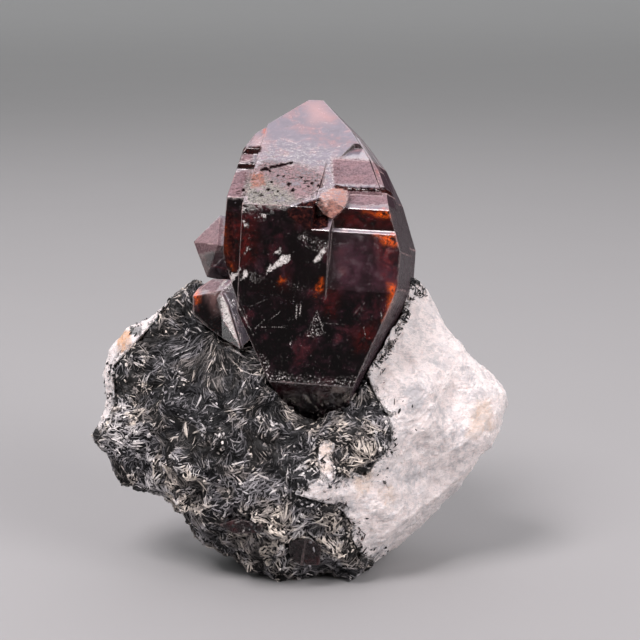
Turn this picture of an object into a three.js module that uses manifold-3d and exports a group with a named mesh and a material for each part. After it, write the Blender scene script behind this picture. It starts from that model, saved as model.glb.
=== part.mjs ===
// A zircon specimen in its matrix, in millimetres.
//
// One large tetragonal zircon, doubly terminated, sits in a socket of matrix rock. A small zircon and a
// broken stub of another have grown out of its left flank. The front of the matrix is a mass of dark mica.
// The right lobe, the back and the left rim are white feldspar. Two small zircons are caught in the mica near
// the foot.
//
// The pieces are modelled facing -Y in a "face frame" whose origin is the middle of the specimen, then the
// whole group leans back by LEAN and stands on a flat broken foot at Z = 0.
import * as THREE from "three";
import Module from "manifold-3d";
import { ConvexHull } from "three/addons/math/ConvexHull.js";
import { ConvexGeometry } from "three/addons/geometries/ConvexGeometry.js";
import { ImprovedNoise } from "three/addons/math/ImprovedNoise.js";
import { mergeVertices } from "three/addons/utils/BufferGeometryUtils.js";

const wasm = await Module();
wasm.setup();

const degrees = THREE.MathUtils.degToRad;

// ---- driving dimensions ---------------------------------------------------------------------------------

const LEAN = degrees(12); // how far the specimen's face leans back as it stands
const GAP = 0.3; // clearance between neighbouring solids
const FOOT_LEVEL = -43.2; // where the foot is flat, below the middle of the face, as it stands

const AXIAL_RATIO = 0.905; // c/a of zircon, which sets the slope of every pyramid face
const CRYSTAL_CENTRE = new THREE.Vector3(-1.4, -1, 12.5);
const CRYSTAL_YAW = degrees(-10);
const CRYSTAL_ROLL = degrees(4);

const ROCK_CENTRE = new THREE.Vector2(-3, -19); // X and Z that the rock's outline is measured round
const ROCK_DETAIL = 16; // subdivisions of the icosahedron that becomes the rock
const ROCK_SQUARENESS = 2.6; // 2 is an ellipsoid, higher is boxier
const LUMP_SIZE = 11;
const LUMP_HEIGHT = 1.3;
const CRAG_SIZE = 4.5;
const CRAG_HEIGHT = 0.75;

const MICA_BACK = 5; // the mica mass reaches back to about this Y
const MICA_BACK_WAVE = 3.5;
const MICA_BACK_WAVE_SIZE = 13;
const MICA_BACK_SLOPE = 0.06;
const MICA_REACH = 60; // further than the mica reaches, in every direction

// ---- solids ---------------------------------------------------------------------------------------------

// A closed three.js geometry as a solid that can be joined and cut.
function solidOf(geometry) {
  const bare = new THREE.BufferGeometry();
  bare.setAttribute("position", geometry.getAttribute("position"));
  if (geometry.index) bare.setIndex(geometry.index);
  const merged = mergeVertices(bare, 1e-4);
  return new wasm.Manifold(
    new wasm.Mesh({
      numProp: 3,
      vertProperties: merged.attributes.position.array,
      triVerts: new Uint32Array(merged.index.array),
    }),
  );
}

// A solid as a three.js geometry with flat facets.
function geometryOf(solid) {
  const { numProp, numVert, vertProperties, triVerts } = solid.getMesh();
  const positions = new Float32Array(numVert * 3);
  for (let i = 0; i < numVert; i++) {
    positions.set(vertProperties.subarray(i * numProp, i * numProp + 3), i * 3);
  }
  const indexed = new THREE.BufferGeometry();
  indexed.setAttribute("position", new THREE.BufferAttribute(positions, 3));
  indexed.setIndex(new THREE.BufferAttribute(triVerts, 1));
  const faceted = indexed.toNonIndexed();
  faceted.computeVertexNormals();
  return faceted;
}

const joined = (solids) => solids.reduce((whole, solid) => whole.add(solid));

// Merges the small triangles that cuts and joins leave in one plane.
const tidied = (solid) => solid.asOriginal().simplify(1e-3);

// The convex solid behind a list of THREE.Plane whose normals point outwards, each moved out by grow.
function solidBehind(planes, grow = 0) {
  const reach = (plane) => grow - plane.constant;
  const corners = [];
  for (let i = 0; i < planes.length; i++) {
    for (let j = i + 1; j < planes.length; j++) {
      for (let k = j + 1; k < planes.length; k++) {
        const [a, b, c] = [planes[i], planes[j], planes[k]];
        const bc = new THREE.Vector3().crossVectors(b.normal, c.normal);
        const volume = a.normal.dot(bc);
        if (Math.abs(volume) < 1e-6) continue;
        const corner = bc
          .multiplyScalar(reach(a))
          .addScaledVector(new THREE.Vector3().crossVectors(c.normal, a.normal), reach(b))
          .addScaledVector(new THREE.Vector3().crossVectors(a.normal, b.normal), reach(c))
          .divideScalar(volume);
        if (planes.every((plane) => plane.distanceToPoint(corner) < grow + 1e-5)) corners.push(corner);
      }
    }
  }
  return solidOf(new ConvexGeometry(corners));
}

// The planes of the facets round a set of corners.
function planesRound(corners) {
  const planes = [];
  for (const face of new ConvexHull().setFromPoints(corners).faces) {
    const plane = new THREE.Plane().setFromNormalAndCoplanarPoint(face.normal, face.edge.head().point);
    const known = planes.some((other) => other.normal.angleTo(plane.normal) < degrees(0.5));
    if (!known) planes.push(plane);
  }
  return planes;
}

// A box, much larger than the specimen, that fills everything behind a plane through point.
function everythingPast(normal, point) {
  const size = 400;
  const box = new THREE.BoxGeometry(size, size, size).translate(0, 0, size / 2);
  const turn = new THREE.Quaternion().setFromUnitVectors(new THREE.Vector3(0, 0, 1), normal);
  return solidOf(box.applyQuaternion(turn).translate(point.x, point.y, point.z));
}

// ---- zircon ---------------------------------------------------------------------------------------------

const SIDES = { right: [1, 0], left: [-1, 0], front: [0, -1], back: [0, 1] };

// A facet of a tetragonal crystal: a prism face where steepness is "prism", otherwise the pyramid face whose
// slope is steepness times the axial ratio. Faces of the lower pyramid have end -1.
function facet(side, steepness, distance, end = 1) {
  const [x, y] = SIDES[side];
  const slope = steepness === "prism" ? Math.PI / 2 : Math.atan(AXIAL_RATIO * steepness);
  const normal = new THREE.Vector3(x * Math.sin(slope), y * Math.sin(slope), end * Math.cos(slope));
  return new THREE.Plane(normal.normalize(), -distance);
}

// The blocks of the main crystal, each as { side: { steepness: distance } } for its top, with its foot apart.
// They have grown side by side with their faces parallel, so where one is set back from the next, a ledge is
// left. Faces steeper than 3 are prism faces that lean a few degrees.
const CROWN = {
  right: { prism: 16.6, 1: 19.6, 1.35: 17.9, 2: 16.55, 3: 16.1 },
  left: { 1: 22.4, 2: 19.6, 3: 17.6 },
  back: { prism: 15, 1: 23.5 },
};
const FOOT = { right: { 3: 19 }, left: { 2: 13.7, 3: 12.8 }, back: { 1: 30 }, front: { 1: 28.5 } };

// The blocks on the right of the front stand out sideways past the others.
const WIDER = { prism: 17.9, 1.35: 18.1, 2: 17.2, 3: 16.75 };

const BLOCKS = {
  core: { front: { prism: 12.2, 1: 16.8, 1.35: 15.95 }, left: { prism: 9.4 } },
  centreTop: { front: { prism: 18, 1: 16.8 }, left: { prism: 9.2 }, right: { prism: 3 }, back: { prism: 0 } },
  centre: { front: { prism: 18, 1: 13.9 }, left: { prism: 9.1 }, right: { prism: 6 }, back: { prism: 0 } },
  rightLedge: { front: { prism: 14.95, 1: 15.05 }, left: { prism: 2 }, right: WIDER, back: { prism: 0 } },
  panel: { front: { prism: 16.8, 8: 15.67, 1: 12.38 }, left: { prism: 9 }, right: WIDER, back: { prism: 0 } },
  leftCorner: { front: { prism: 6.1, 1: 16.55 }, left: { prism: 12.4, 1.5: 19.4 }, right: { prism: 0 } },
  leftLedge: { front: { prism: 8.1, 1: 15.75 }, left: { prism: 12.6 }, right: { prism: 1 } },
  leftColumn: { front: { prism: 13.9, 1: 14.95 }, left: { prism: 12.9 }, right: { prism: 2 } },
};
// The two centre blocks lean in towards their foot until they are level with the panel.
const CENTRE_FOOT = { 13: 17.5 };
const FOOT_CUT = 35; // the buried end of the crystal is broken off this far below its middle

function facetsOf(faces, end) {
  return Object.entries(faces).flatMap(([side, steps]) =>
    Object.entries(steps).map(([steepness, distance]) => facet(side, steepness, distance, end)),
  );
}

// Moves crystal-frame planes to where the crystal stands in the face frame.
function placed(planes, place) {
  return planes.map((plane) => plane.clone().applyMatrix4(place));
}

const mainCrystalPlace = new THREE.Matrix4()
  .makeRotationY(CRYSTAL_ROLL)
  .multiply(new THREE.Matrix4().makeRotationZ(CRYSTAL_YAW))
  .setPosition(CRYSTAL_CENTRE);

const mainCrystalBlocks = Object.entries(BLOCKS).map(([name, block]) => {
  const top = { ...CROWN, front: block.front };
  for (const side of ["right", "left", "back"]) top[side] = { ...CROWN[side], ...block[side] };
  const foot = { ...FOOT };
  if (name.startsWith("centre")) foot.front = { ...FOOT.front, ...CENTRE_FOOT };
  const brokenEnd = new THREE.Plane(new THREE.Vector3(0, 0, -1), -FOOT_CUT);
  return placed([...facetsOf(top, 1), ...facetsOf(foot, -1), brokenEnd], mainCrystalPlace);
});

// A chip out of the front pyramid face's right edge, as the corners of its floor. It is open upwards.
const CHIP_FLOOR = [[5, -7.9, 15.55], [16, -8.75, 14.75], [6.9, -3.7, 17.9], [15.9, -3.4, 18]];
const CHIP_HEIGHT = 3;

// The small zircon that grows out of the left flank, its point to the left and one edge to the front.
const SIDE_CRYSTAL = { halfWidth: 4, tip: [-22.3, -3, 13.8], length: 16, tilt: 12, swing: 10 };

function sideCrystalPlanes({ halfWidth, tip, length, tilt, swing }) {
  const facets = Object.keys(SIDES).flatMap((side) => [facet(side, "prism", halfWidth), facet(side, 1, 0)]);
  const buriedEnd = new THREE.Plane(new THREE.Vector3(0, 0, -1), -length);
  const place = new THREE.Matrix4()
    .makeRotationZ(degrees(swing))
    .multiply(new THREE.Matrix4().makeRotationY(degrees(tilt - 90)))
    .multiply(new THREE.Matrix4().makeRotationZ(degrees(45)))
    .setPosition(...tip);
  return placed([...facets, buriedEnd], place);
}

// What has grown onto the main crystal besides, each as the corners of a rough convex block in the face
// frame: a block on its front shoulder, a broken stub against its lower left edge, and a rib on the stub.
const GROWN_ON = {
  shoulderBlock: [
    [-0.3, -16.5, 22.2], [2.3, -15.2, 23.2], [4.7, -15.8, 22.4], [4.9, -17.4, 20.6], [4.3, -18.6, 18.7],
    [2.1, -18.7, 16.8], [0.5, -18.6, 17.7], [-1, -17.9, 19.7], [1.8, -18.5, 20.4], [2, -13, 20],
  ],
  stub: [
    [-21.3, -3.5, 5.8], [-22.4, -5, 4.2], [-22.2, -6.5, 1], [-19.3, -9.5, -1.4], [-16.8, -11.5, -3.1],
    [-13.6, -13.5, -5], [-17.1, -9.1, 5.2], [-18.9, -4.5, 7.2], [-15, -8.4, 7], [-11.5, -12.5, -3],
    [-17, 1, 4], [-15, -2, -4], [-20, 0, 1], [-13, 0, 6.5],
  ],
  stubRib: [
    [-17, -10, 4.9], [-17.9, -9.8, 3.8], [-16.6, -12.2, -0.1], [-13.5, -14.4, -4.8], [-15.7, -11.4, 2.1],
    [-15.5, -8.5, 3.5], [-13, -11, -4], [-16.5, -8, 0],
  ],
};

const corners = (list) => list.map(([x, y, z]) => new THREE.Vector3(x, y, z));
const grownOn = Object.values(GROWN_ON).map((list) => planesRound(corners(list)));
const mainCrystal = [...mainCrystalBlocks, sideCrystalPlanes(SIDE_CRYSTAL), ...grownOn];

// Two small zircons caught in the mica near its foot.
const LOW_ZIRCON_CORNERS = [
  [-17.2, -14.8, -34.8], [-14, -16, -33.6], [-9.6, -16.7, -34.5], [-10.2, -16.4, -36],
  [-14.5, -15.5, -36.2], [-16, -10.5, -34], [-11, -10.5, -35.6], [-13, -10.5, -33.6],
];
const FOOT_ZIRCON_CORNERS = [
  [-5.4, -12.3, -37.8], [-2.4, -13.4, -37.2], [0.2, -12.9, -38.4], [0, -11.6, -42], [-3.2, -11.5, -42.2],
  [-5.2, -11.2, -40.8], [-4, -6, -38], [-1, -6, -41],
];

// ---- matrix rock ----------------------------------------------------------------------------------------

// The rock's outline seen from the front, as X and Z, clockwise from its top left.
const ROCK_OUTLINE = [
  [-22.2, 6.4], [-26.5, 4.1], [-29.9, 0.5], [-34, -0.9], [-37.2, -4.5], [-38.9, -9.8], [-38, -15.2],
  [-39.9, -21.5], [-38.3, -25.2], [-33.8, -29.9], [-29, -30.3], [-24, -34.4], [-20.6, -39.4], [-17.2, -41.4],
  [-12.7, -42.6], [-8.4, -45.4], [-0.7, -44.6], [1.3, -42.8], [3.6, -45.4], [7.5, -45.6], [9.3, -42.6],
  [13.6, -40.8], [18.3, -37.2], [22, -32.6], [26.1, -27.8], [27.9, -24.9], [30.6, -22.7], [32.8, -18.6],
  [33.3, -15], [32.6, -12.4], [29.4, -8.6], [26.3, -5.4], [22.7, -1.4], [19.2, 3.9], [16.3, 7.6], [14.7, 7.2],
  [10.7, 4.5], [3.6, 2.7], [-3.6, 2.1], [-10.7, 2.7], [-17, 4.5],
];

// Depths of the rock's front, of its back and of the rim between them, as [X, Z, Y] at places on the outline.
const FRONT_DEPTHS = [
  [-9, -12, -17.2], [5.5, -12.5, -17], [-2, -16.2, -12.6], [-2.5, -21, -16.5], [-12.5, -14, -17],
  [11, -12, -15.5], [-2.5, -26.5, -19.5], [-14, -19.5, -18], [-24, -14, -13], [-31, -10.5, -8],
  [-33, -23, -9], [-21, -28.5, -17.5], [-9, -33.5, -19], [-2, -39, -15], [-14, -39, -14.5],
  [7, -19.5, -17.5], [17.5, -14, -15.5], [24.5, -14, -11], [14, -3.5, -12.5], [17, 2, -7.5],
  [10.5, -32, -15.5], [19.5, -26.5, -11.5], [-19.5, 0, -10], [-26, -1.5, -6.5], [-15.5, -5, -13.5],
  [0, 0, -12],
];
const BACK_DEPTHS = [
  [-3, -8, 21], [-20, -8, 17], [16, -8, 17], [-3, -25, 23], [-22, -24, 17], [18, -24, 17], [-3, -40, 21],
  [-32, -14, 11], [27, -14, 12], [0, 2, 18],
];
const RIM_DEPTHS = [
  [-22, 6, 1], [-38, -10, 1], [-39, -21, 0], [-25, -35, 0], [-8, -44, -1], [10, -42, 0], [24, -30, 2],
  [33, -15, 3], [25, -4, 3], [16, 7, 2], [8, 4, 15], [-3, 2, 17], [-14, 4, 14],
];

// A smooth depth between the listed ones, by the inverse of distance.
function depthAt(depths, x, z) {
  let sum = 0;
  let weights = 0;
  for (const [px, pz, depth] of depths) {
    const weight = 1 / (1e-3 + ((x - px) ** 2 + (z - pz) ** 2) ** 1.6);
    sum += weight * depth;
    weights += weight;
  }
  return sum / weights;
}

// How far the outline lies from the rock's centre in the direction of angle.
function outlineRadius(angle) {
  const ray = new THREE.Vector2(Math.cos(angle), Math.sin(angle));
  let radius = 0;
  ROCK_OUTLINE.forEach((start, i) => {
    const a = new THREE.Vector2(...start).sub(ROCK_CENTRE);
    const b = new THREE.Vector2(...ROCK_OUTLINE[(i + 1) % ROCK_OUTLINE.length]).sub(ROCK_CENTRE);
    const edge = b.clone().sub(a);
    const along = -a.cross(ray) / edge.cross(ray);
    const point = a.clone().addScaledVector(edge, along);
    if (along >= 0 && along <= 1 && point.dot(ray) > 0) radius = Math.max(radius, point.length());
  });
  return radius;
}

const noise = new ImprovedNoise();

// Noise between -1 and 1 whose features are about size across.
function noiseAt(point, size, seed) {
  return noise.noise(point.x / size + seed, point.y / size, point.z / size);
}

// Lumps and crags: rounded at the large size, sharp-crested at the small one.
function roughness(point) {
  const crag = 0.5 - 2 * Math.abs(noiseAt(point, CRAG_SIZE, 3.4));
  return LUMP_HEIGHT * noiseAt(point, LUMP_SIZE, 7) + CRAG_HEIGHT * crag;
}

// An icosphere drawn out to the outline and to the front and back depths, then roughened.
function rockGeometry() {
  const geometry = new THREE.IcosahedronGeometry(1, ROCK_DETAIL);
  const position = geometry.getAttribute("position");
  const unit = new THREE.Vector3();
  for (let i = 0; i < position.count; i++) {
    unit.fromBufferAttribute(position, i);
    const angle = Math.atan2(unit.z, unit.x);
    const across = Math.hypot(unit.x, unit.z) ** (2 / ROCK_SQUARENESS);
    const through = Math.abs(unit.y) ** (2 / ROCK_SQUARENESS);
    const edge = new THREE.Vector2(Math.cos(angle), Math.sin(angle)).multiplyScalar(outlineRadius(angle));
    const [x, z] = edge.clone().multiplyScalar(across).add(ROCK_CENTRE).toArray();
    const rim = depthAt(RIM_DEPTHS, ...edge.add(ROCK_CENTRE).toArray());
    const wall = depthAt(unit.y < 0 ? FRONT_DEPTHS : BACK_DEPTHS, x, z);
    const point = new THREE.Vector3(x, rim + (wall - rim) * through, z);
    const outwards = new THREE.Vector3(unit.x * across, unit.y, unit.z * across).normalize();
    point.addScaledVector(outwards, roughness(point));
    position.setXYZ(i, point.x, point.y, point.z);
  }
  return geometry;
}

// Broken flats of the rock, each a plane through a point with its outward normal.
const FLATS = [
  { at: [24, -12.2, -15], normal: [0.45, -0.87, 0.18] },
  { at: [17, -14, -27], normal: [0.3, -0.88, -0.36] },
  { at: [27.2, -2, -26], normal: [0.66, -0.3, -0.69] },
  { at: [25, 13, -8], normal: [0.66, 0.68, 0.32] },
  { at: [20, 17, -26], normal: [0.5, 0.8, -0.34] },
  { at: [-2, 20.5, -12], normal: [0.05, 0.98, 0.2] },
  { at: [-6, 20, -30], normal: [-0.16, 0.94, -0.3] },
  { at: [-26, 13, -12], normal: [-0.62, 0.76, 0.2] },
  { at: [-25, 12, -29], normal: [-0.55, 0.6, -0.58] },
];

// ---- mica and feldspar ----------------------------------------------------------------------------------

// Where mica covers the rock, seen from the front, as X and Z: its left and right borders with the feldspar.
const MICA_LEFT = [
  [-22.5, 14], [-22, 6.3], [-26.3, 3.6], [-28.6, 0], [-30, -1.6], [-33.3, -5.6], [-36.1, -8.4], [-35.8, -12],
  [-35.9, -17], [-36.6, -19.2], [-44, -21],
];
const MICA_RIGHT = [
  [9.8, -50], [8.9, -43], [6.6, -40.6], [5.2, -38], [4.8, -34.6], [2.6, -31.8], [-1.4, -30.6],
  [-4.8, -29.3], [-3.4, -27.4], [-0.3, -26.4], [-0.9, -23.5], [-0.4, -20.6], [1.2, -19.5], [2.9, -20.6],
  [2.9, -24], [2.7, -26], [4.8, -25], [7.7, -26.2], [9.5, -23.1], [11.9, -19.3], [11.1, -16.2], [9, -13],
  [7.5, -9], [4, 14],
];

// The outline moved out by distance, corner by corner.
function outset(outline, distance) {
  return outline.map((corner, i) => {
    const before = outline[(i + outline.length - 1) % outline.length];
    const after = outline[(i + 1) % outline.length];
    const along = new THREE.Vector2(after[0] - before[0], after[1] - before[1]).normalize();
    return [corner[0] + along.y * distance, corner[1] - along.x * distance];
  });
}

// The part of space that mica fills, moved out by grow: its outline from the front, back to a wavy wall.
function micaRegion(grow) {
  const outline = outset([...MICA_LEFT, [-44, -50], ...MICA_RIGHT], grow);
  const shape = new THREE.Shape(outline.map(([x, z]) => new THREE.Vector2(x, z)));
  const column = new THREE.ExtrudeGeometry(shape, { depth: 2 * MICA_REACH, bevelEnabled: false });
  column.rotateX(Math.PI / 2).translate(0, MICA_REACH, 0);
  const slab = new THREE.BoxGeometry(2 * MICA_REACH, MICA_REACH, 2 * MICA_REACH, 26, 1, 26);
  slab.translate(0, -MICA_REACH / 2, ROCK_CENTRE.y);
  const position = slab.getAttribute("position");
  for (let i = 0; i < position.count; i++) {
    const point = new THREE.Vector3().fromBufferAttribute(position, i);
    if (point.y < 0) continue;
    const wave = MICA_BACK_WAVE * noiseAt(point, MICA_BACK_WAVE_SIZE, 5);
    position.setY(i, MICA_BACK + grow + wave - MICA_BACK_SLOPE * point.x);
  }
  return solidOf(column).intersect(solidOf(slab));
}

// ---- the specimen ---------------------------------------------------------------------------------------

const STONE = { metalness: 0 };
const zirconMaterial = new THREE.MeshStandardMaterial({ ...STONE, color: 0x3a0d0a, roughness: 0.15 });
const micaMaterial = new THREE.MeshStandardMaterial({ ...STONE, color: 0x2c2e2e, roughness: 0.45 });
const feldsparMaterial = new THREE.MeshStandardMaterial({ ...STONE, color: 0xd9d2d2, roughness: 0.6 });

function mesh(name, solid, material) {
  const made = new THREE.Mesh(geometryOf(tidied(solid)), material);
  made.name = name;
  return made;
}

// The foot is level as the specimen stands, so its plane leans the other way in the face frame.
const down = new THREE.Vector3(0, 0, -1).applyAxisAngle(new THREE.Vector3(1, 0, 0), LEAN);
const belowFoot = everythingPast(down, down.clone().multiplyScalar(-FOOT_LEVEL));

const lowZirconPlanes = planesRound(corners(LOW_ZIRCON_CORNERS));
const footZirconPlanes = planesRound(corners(FOOT_ZIRCON_CORNERS));

const sockets = joined(
  [...mainCrystal, lowZirconPlanes, footZirconPlanes].map((planes) => solidBehind(planes, GAP)),
);

const cutAway = FLATS.map(({ at, normal }) =>
  everythingPast(new THREE.Vector3(...normal).normalize(), new THREE.Vector3(...at)),
);
const rock = solidOf(rockGeometry()).subtract(joined([...cutAway, belowFoot, sockets]));

const chipUp = facet("front", 1, 0).normal.multiplyScalar(CHIP_HEIGHT);
const chipCorners = corners(CHIP_FLOOR).flatMap((corner) => [corner, corner.clone().add(chipUp)]);
const chip = solidBehind(placed(planesRound(chipCorners), mainCrystalPlace));

const crystal = joined(mainCrystal.map((planes) => solidBehind(planes))).subtract(chip);

const specimen = new THREE.Group();
specimen.add(
  mesh("zircon_crystal", crystal, zirconMaterial),
  mesh("zircon_in_mica", solidBehind(lowZirconPlanes), zirconMaterial),
  mesh("zircon_at_foot", solidBehind(footZirconPlanes).subtract(belowFoot), zirconMaterial),
  mesh("mica_matrix", rock.intersect(micaRegion(0)), micaMaterial),
  mesh("feldspar_matrix", rock.subtract(micaRegion(GAP)), feldsparMaterial),
);
specimen.rotation.x = -LEAN;

// The origin is the middle of the foot's level, under the middle of the specimen's box.
specimen.updateMatrixWorld(true);
const box = new THREE.Box3().setFromObject(specimen, true);
specimen.position.set(-(box.min.x + box.max.x) / 2, -(box.min.y + box.max.y) / 2, -box.min.z);

export default specimen;
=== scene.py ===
"""A dark red zircon standing in black mica and white feldspar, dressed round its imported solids.

Lengths are in metres. Places on the specimen's front are given in millimetres in its face frame: X to the
right, Y away from the front, Z up the face, from the middle of the specimen. The face leans back as it
stands.
"""

import itertools
import logging
import math
from dataclasses import dataclass, field
from enum import Enum, IntEnum
from typing import Any, Iterable, Mapping, Sequence

import bmesh
import bpy
import numpy as np
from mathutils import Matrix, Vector
from mathutils.bvhtree import BVHTree
from mathutils.kdtree import KDTree


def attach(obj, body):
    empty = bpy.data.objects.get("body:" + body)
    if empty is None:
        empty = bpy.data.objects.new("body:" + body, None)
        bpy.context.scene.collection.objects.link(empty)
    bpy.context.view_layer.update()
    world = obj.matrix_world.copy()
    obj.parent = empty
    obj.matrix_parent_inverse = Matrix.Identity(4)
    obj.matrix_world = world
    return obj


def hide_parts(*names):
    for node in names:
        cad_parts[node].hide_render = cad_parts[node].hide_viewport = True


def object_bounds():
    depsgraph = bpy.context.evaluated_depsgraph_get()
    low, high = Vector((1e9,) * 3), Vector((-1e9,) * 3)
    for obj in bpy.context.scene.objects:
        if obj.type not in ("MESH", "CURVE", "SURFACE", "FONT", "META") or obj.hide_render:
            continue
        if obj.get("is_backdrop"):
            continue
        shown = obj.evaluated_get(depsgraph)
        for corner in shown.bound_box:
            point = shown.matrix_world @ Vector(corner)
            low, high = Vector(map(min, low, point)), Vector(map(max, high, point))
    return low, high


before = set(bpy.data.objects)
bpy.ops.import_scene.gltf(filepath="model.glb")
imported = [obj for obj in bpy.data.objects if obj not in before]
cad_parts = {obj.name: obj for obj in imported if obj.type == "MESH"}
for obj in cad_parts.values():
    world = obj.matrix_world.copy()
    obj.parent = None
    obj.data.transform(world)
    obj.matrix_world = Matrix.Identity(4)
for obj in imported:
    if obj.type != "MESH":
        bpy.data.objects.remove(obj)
CAD_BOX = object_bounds()

logging.basicConfig(level=logging.INFO, format="%(message)s")
LOG = logging.getLogger("specimen")

MM = 0.001
BODY = "root"

Array = np.ndarray
Colour = tuple[float, float, float]
Line = Sequence[tuple[float, float]]

GRADIENT_GAIN = 1.6  # brings gradient noise up to about -1 to 1
MICA_AND_SHADE_REACH = 1.5  # how far the mica darkens the feldspar, as mica seen through and painted shade, in millimetres
OCTAVE_SHIFT = 17.3  # moves each finer noise away from the last
AXIS_FACTORS = (0x9E3779B185EBCA87, 0xC2B2AE3D27D4EB4F, 0x165667B19E3779F9)
MIXING_ROUNDS = ((29, 0xBF58476D1CE4E5B9), (32, 0x94D049BB133111EB))  # each round's shift and factor
SEED_FACTOR = 7919
CHANNEL_FACTOR = 104729
KEPT_BITS = 24  # how many of the 64 mixed bits make a number


class Seed(IntEnum):
    """The seed of everything that looks random."""

    FELDSPAR_COARSE = 3
    FELDSPAR_BEIGE = 4
    FELDSPAR_FINE = 5
    MICA_LUMPS = 7
    MICA_RIDGES = 8
    FELDSPAR_ROUGH = 9
    MICA_GRAINS = 10
    BLADES = 11
    BUNDLES = 19
    BLADE_TONES = 23
    STUBBY_AREAS = 27
    FLAKES = 29
    LOW_ZIRCONS = 31
    FLAKE_CLUSTERS = 37
    ETCHING = 41


# ---- places and shapes ----------------------------------------------------------------------------------


@dataclass(frozen=True)
class FaceFrame:
    """The frame that the specimen's front is measured in, and where it stands."""

    lean: float = math.radians(12)
    origin: tuple[float, float, float] = (2.878, 1.324, 43.2)
    eye_distance: float = 320.0

    def rotation(self) -> Array:
        """Returns the matrix that turns face-frame directions to standing ones."""
        c, s = math.cos(self.lean), math.sin(self.lean)
        return np.array([[1, 0, 0], [0, c, s], [0, -s, c]])

    def to_face(self, points: Array) -> Array:
        """Turns standing points in metres to face-frame points in millimetres.

        Args:
            points: one point a row, in metres.

        Returns:
            One point a row, in millimetres in the face frame.
        """
        return (points / MM - np.array(self.origin)) @ self.rotation()

    def to_stand(self, points: Array) -> Array:
        """Turns face-frame points in millimetres to standing points in metres.

        Args:
            points: one point a row, in millimetres in the face frame.

        Returns:
            One point a row, in metres.
        """
        return (points @ self.rotation().T + np.array(self.origin)) * MM


FACE = FaceFrame()


@dataclass(frozen=True)
class Noise:
    """Seeded noise over points in space."""

    seed: Seed

    def lattice(self, cells: Array, channel: int = 0) -> Array:
        """Gives each whole-number point its own number from 0 to 1.

        Args:
            cells: whole-number points, one a row.
            channel: which of many independent sets of numbers to give.

        Returns:
            One number for each point.
        """
        whole = cells.astype(np.int64).astype(np.uint64)
        mixed = (whole * np.array(AXIS_FACTORS, np.uint64)).sum(-1, dtype=np.uint64)
        mixed ^= np.uint64(self.seed * SEED_FACTOR + channel * CHANNEL_FACTOR + 1)
        for shift, factor in MIXING_ROUNDS:
            mixed = (mixed ^ (mixed >> np.uint64(shift))) * np.uint64(factor)
        return (mixed >> np.uint64(64 - KEPT_BITS)).astype(float) / (1 << KEPT_BITS)

    def smooth(self, points: Array, size: float) -> Array:
        """Gradient noise from about -1 to 1 with features of the given size.

        Args:
            points: one point a row.
            size: the width of a feature, in the points' units.

        Returns:
            One number for each point.
        """
        scaled = points / size
        base = np.floor(scaled)
        inside = scaled - base
        fade = inside**3 * (inside * (inside * 6 - 15) + 10)
        total = np.zeros(len(points))
        for corner in itertools.product((0, 1), repeat=3):
            weight = np.prod(np.where(corner, fade, 1 - fade), axis=1)
            slope = np.stack([self.lattice(base + corner, axis) for axis in range(3)], axis=1) * 2 - 1
            total += weight * ((inside - corner) * slope).sum(1)
        return total * GRADIENT_GAIN

    def fractal(self, points: Array, size: float, octaves: int = 3) -> Array:
        """Sums smooth noise of ever smaller size and height.

        Args:
            points: one point a row.
            size: the width of the largest features.
            octaves: how many sizes are summed, each half of the last.

        Returns:
            One number for each point, from about -1 to 1.
        """
        layers = (self.smooth(points + OCTAVE_SHIFT * k, size / 2**k) / 2**k for k in range(octaves))
        return sum(layers) / GRADIENT_GAIN

    def nearest_cell(self, points: Array, size: float) -> tuple[Array, Array]:
        """Breaks space into cells of uneven shape.

        Args:
            points: one point a row.
            size: the width of a cell.

        Returns:
            The whole-number point that stands for each point's cell, and where the point lies from the
            cell's middle, in units of size.
        """
        scaled = points / size
        base = np.floor(scaled)
        best = np.full(len(points), np.inf)
        cell = np.zeros_like(base)
        away = np.zeros_like(base)
        for step in itertools.product((-1, 0, 1), repeat=3):
            candidate = base + step
            middle = candidate + np.stack([self.lattice(candidate, axis) for axis in range(3)], axis=1)
            gap = scaled - middle
            far = (gap**2).sum(1)
            near = far < best
            best[near] = far[near]
            cell[near] = candidate[near]
            away[near] = gap[near]
        return cell, away

    def facets(self, points: Array, size: float, slope: float = 1.0) -> tuple[Array, Array]:
        """Gives each cell of space its own tilted plane, like a broken grainy surface.

        Args:
            points: one point a row.
            size: the width of a cell.
            slope: how steeply the planes tilt.

        Returns:
            The height of each point's plane in units of size, and a number from 0 to 1 for its cell.
        """
        cell, away = self.nearest_cell(points, size)
        tilt = np.stack([self.lattice(cell, 3 + axis) for axis in range(3)], axis=1) * 2 - 1
        own = self.lattice(cell, 6)
        return (own - 0.5) + slope * (away * tilt).sum(1), own


def ramp(values: Array, low: float, high: float) -> Array:
    """Smooth step from 0 at low to 1 at high; low may be the larger.

    Args:
        values: the numbers to step.
        low: where the step is 0.
        high: where the step is 1.

    Returns:
        One number from 0 to 1 for each value.
    """
    t = np.clip((values - low) / (high - low), 0, 1)
    return t * t * (3 - 2 * t)


def above_floor(points: Array) -> Array:
    """Lifts points that lie below the floor up to it.

    Args:
        points: one point a row.

    Returns:
        The points.
    """
    return np.maximum(points, (-np.inf, -np.inf, 0.0))


def segment_distance(points: Array, segments: Iterable[tuple[Array, Array]]) -> Array:
    """How far each point lies from the nearest of many straight lines.

    Args:
        points: one point a row.
        segments: the two ends of each line.

    Returns:
        One distance for each point.
    """
    best = np.full(len(points), np.inf)
    for a, b in segments:
        t = np.clip(((points - a) @ (b - a)) / ((b - a) @ (b - a)), 0, 1)
        best = np.minimum(best, np.linalg.norm(points - a - t[:, None] * (b - a), axis=1))
    return best


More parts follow.
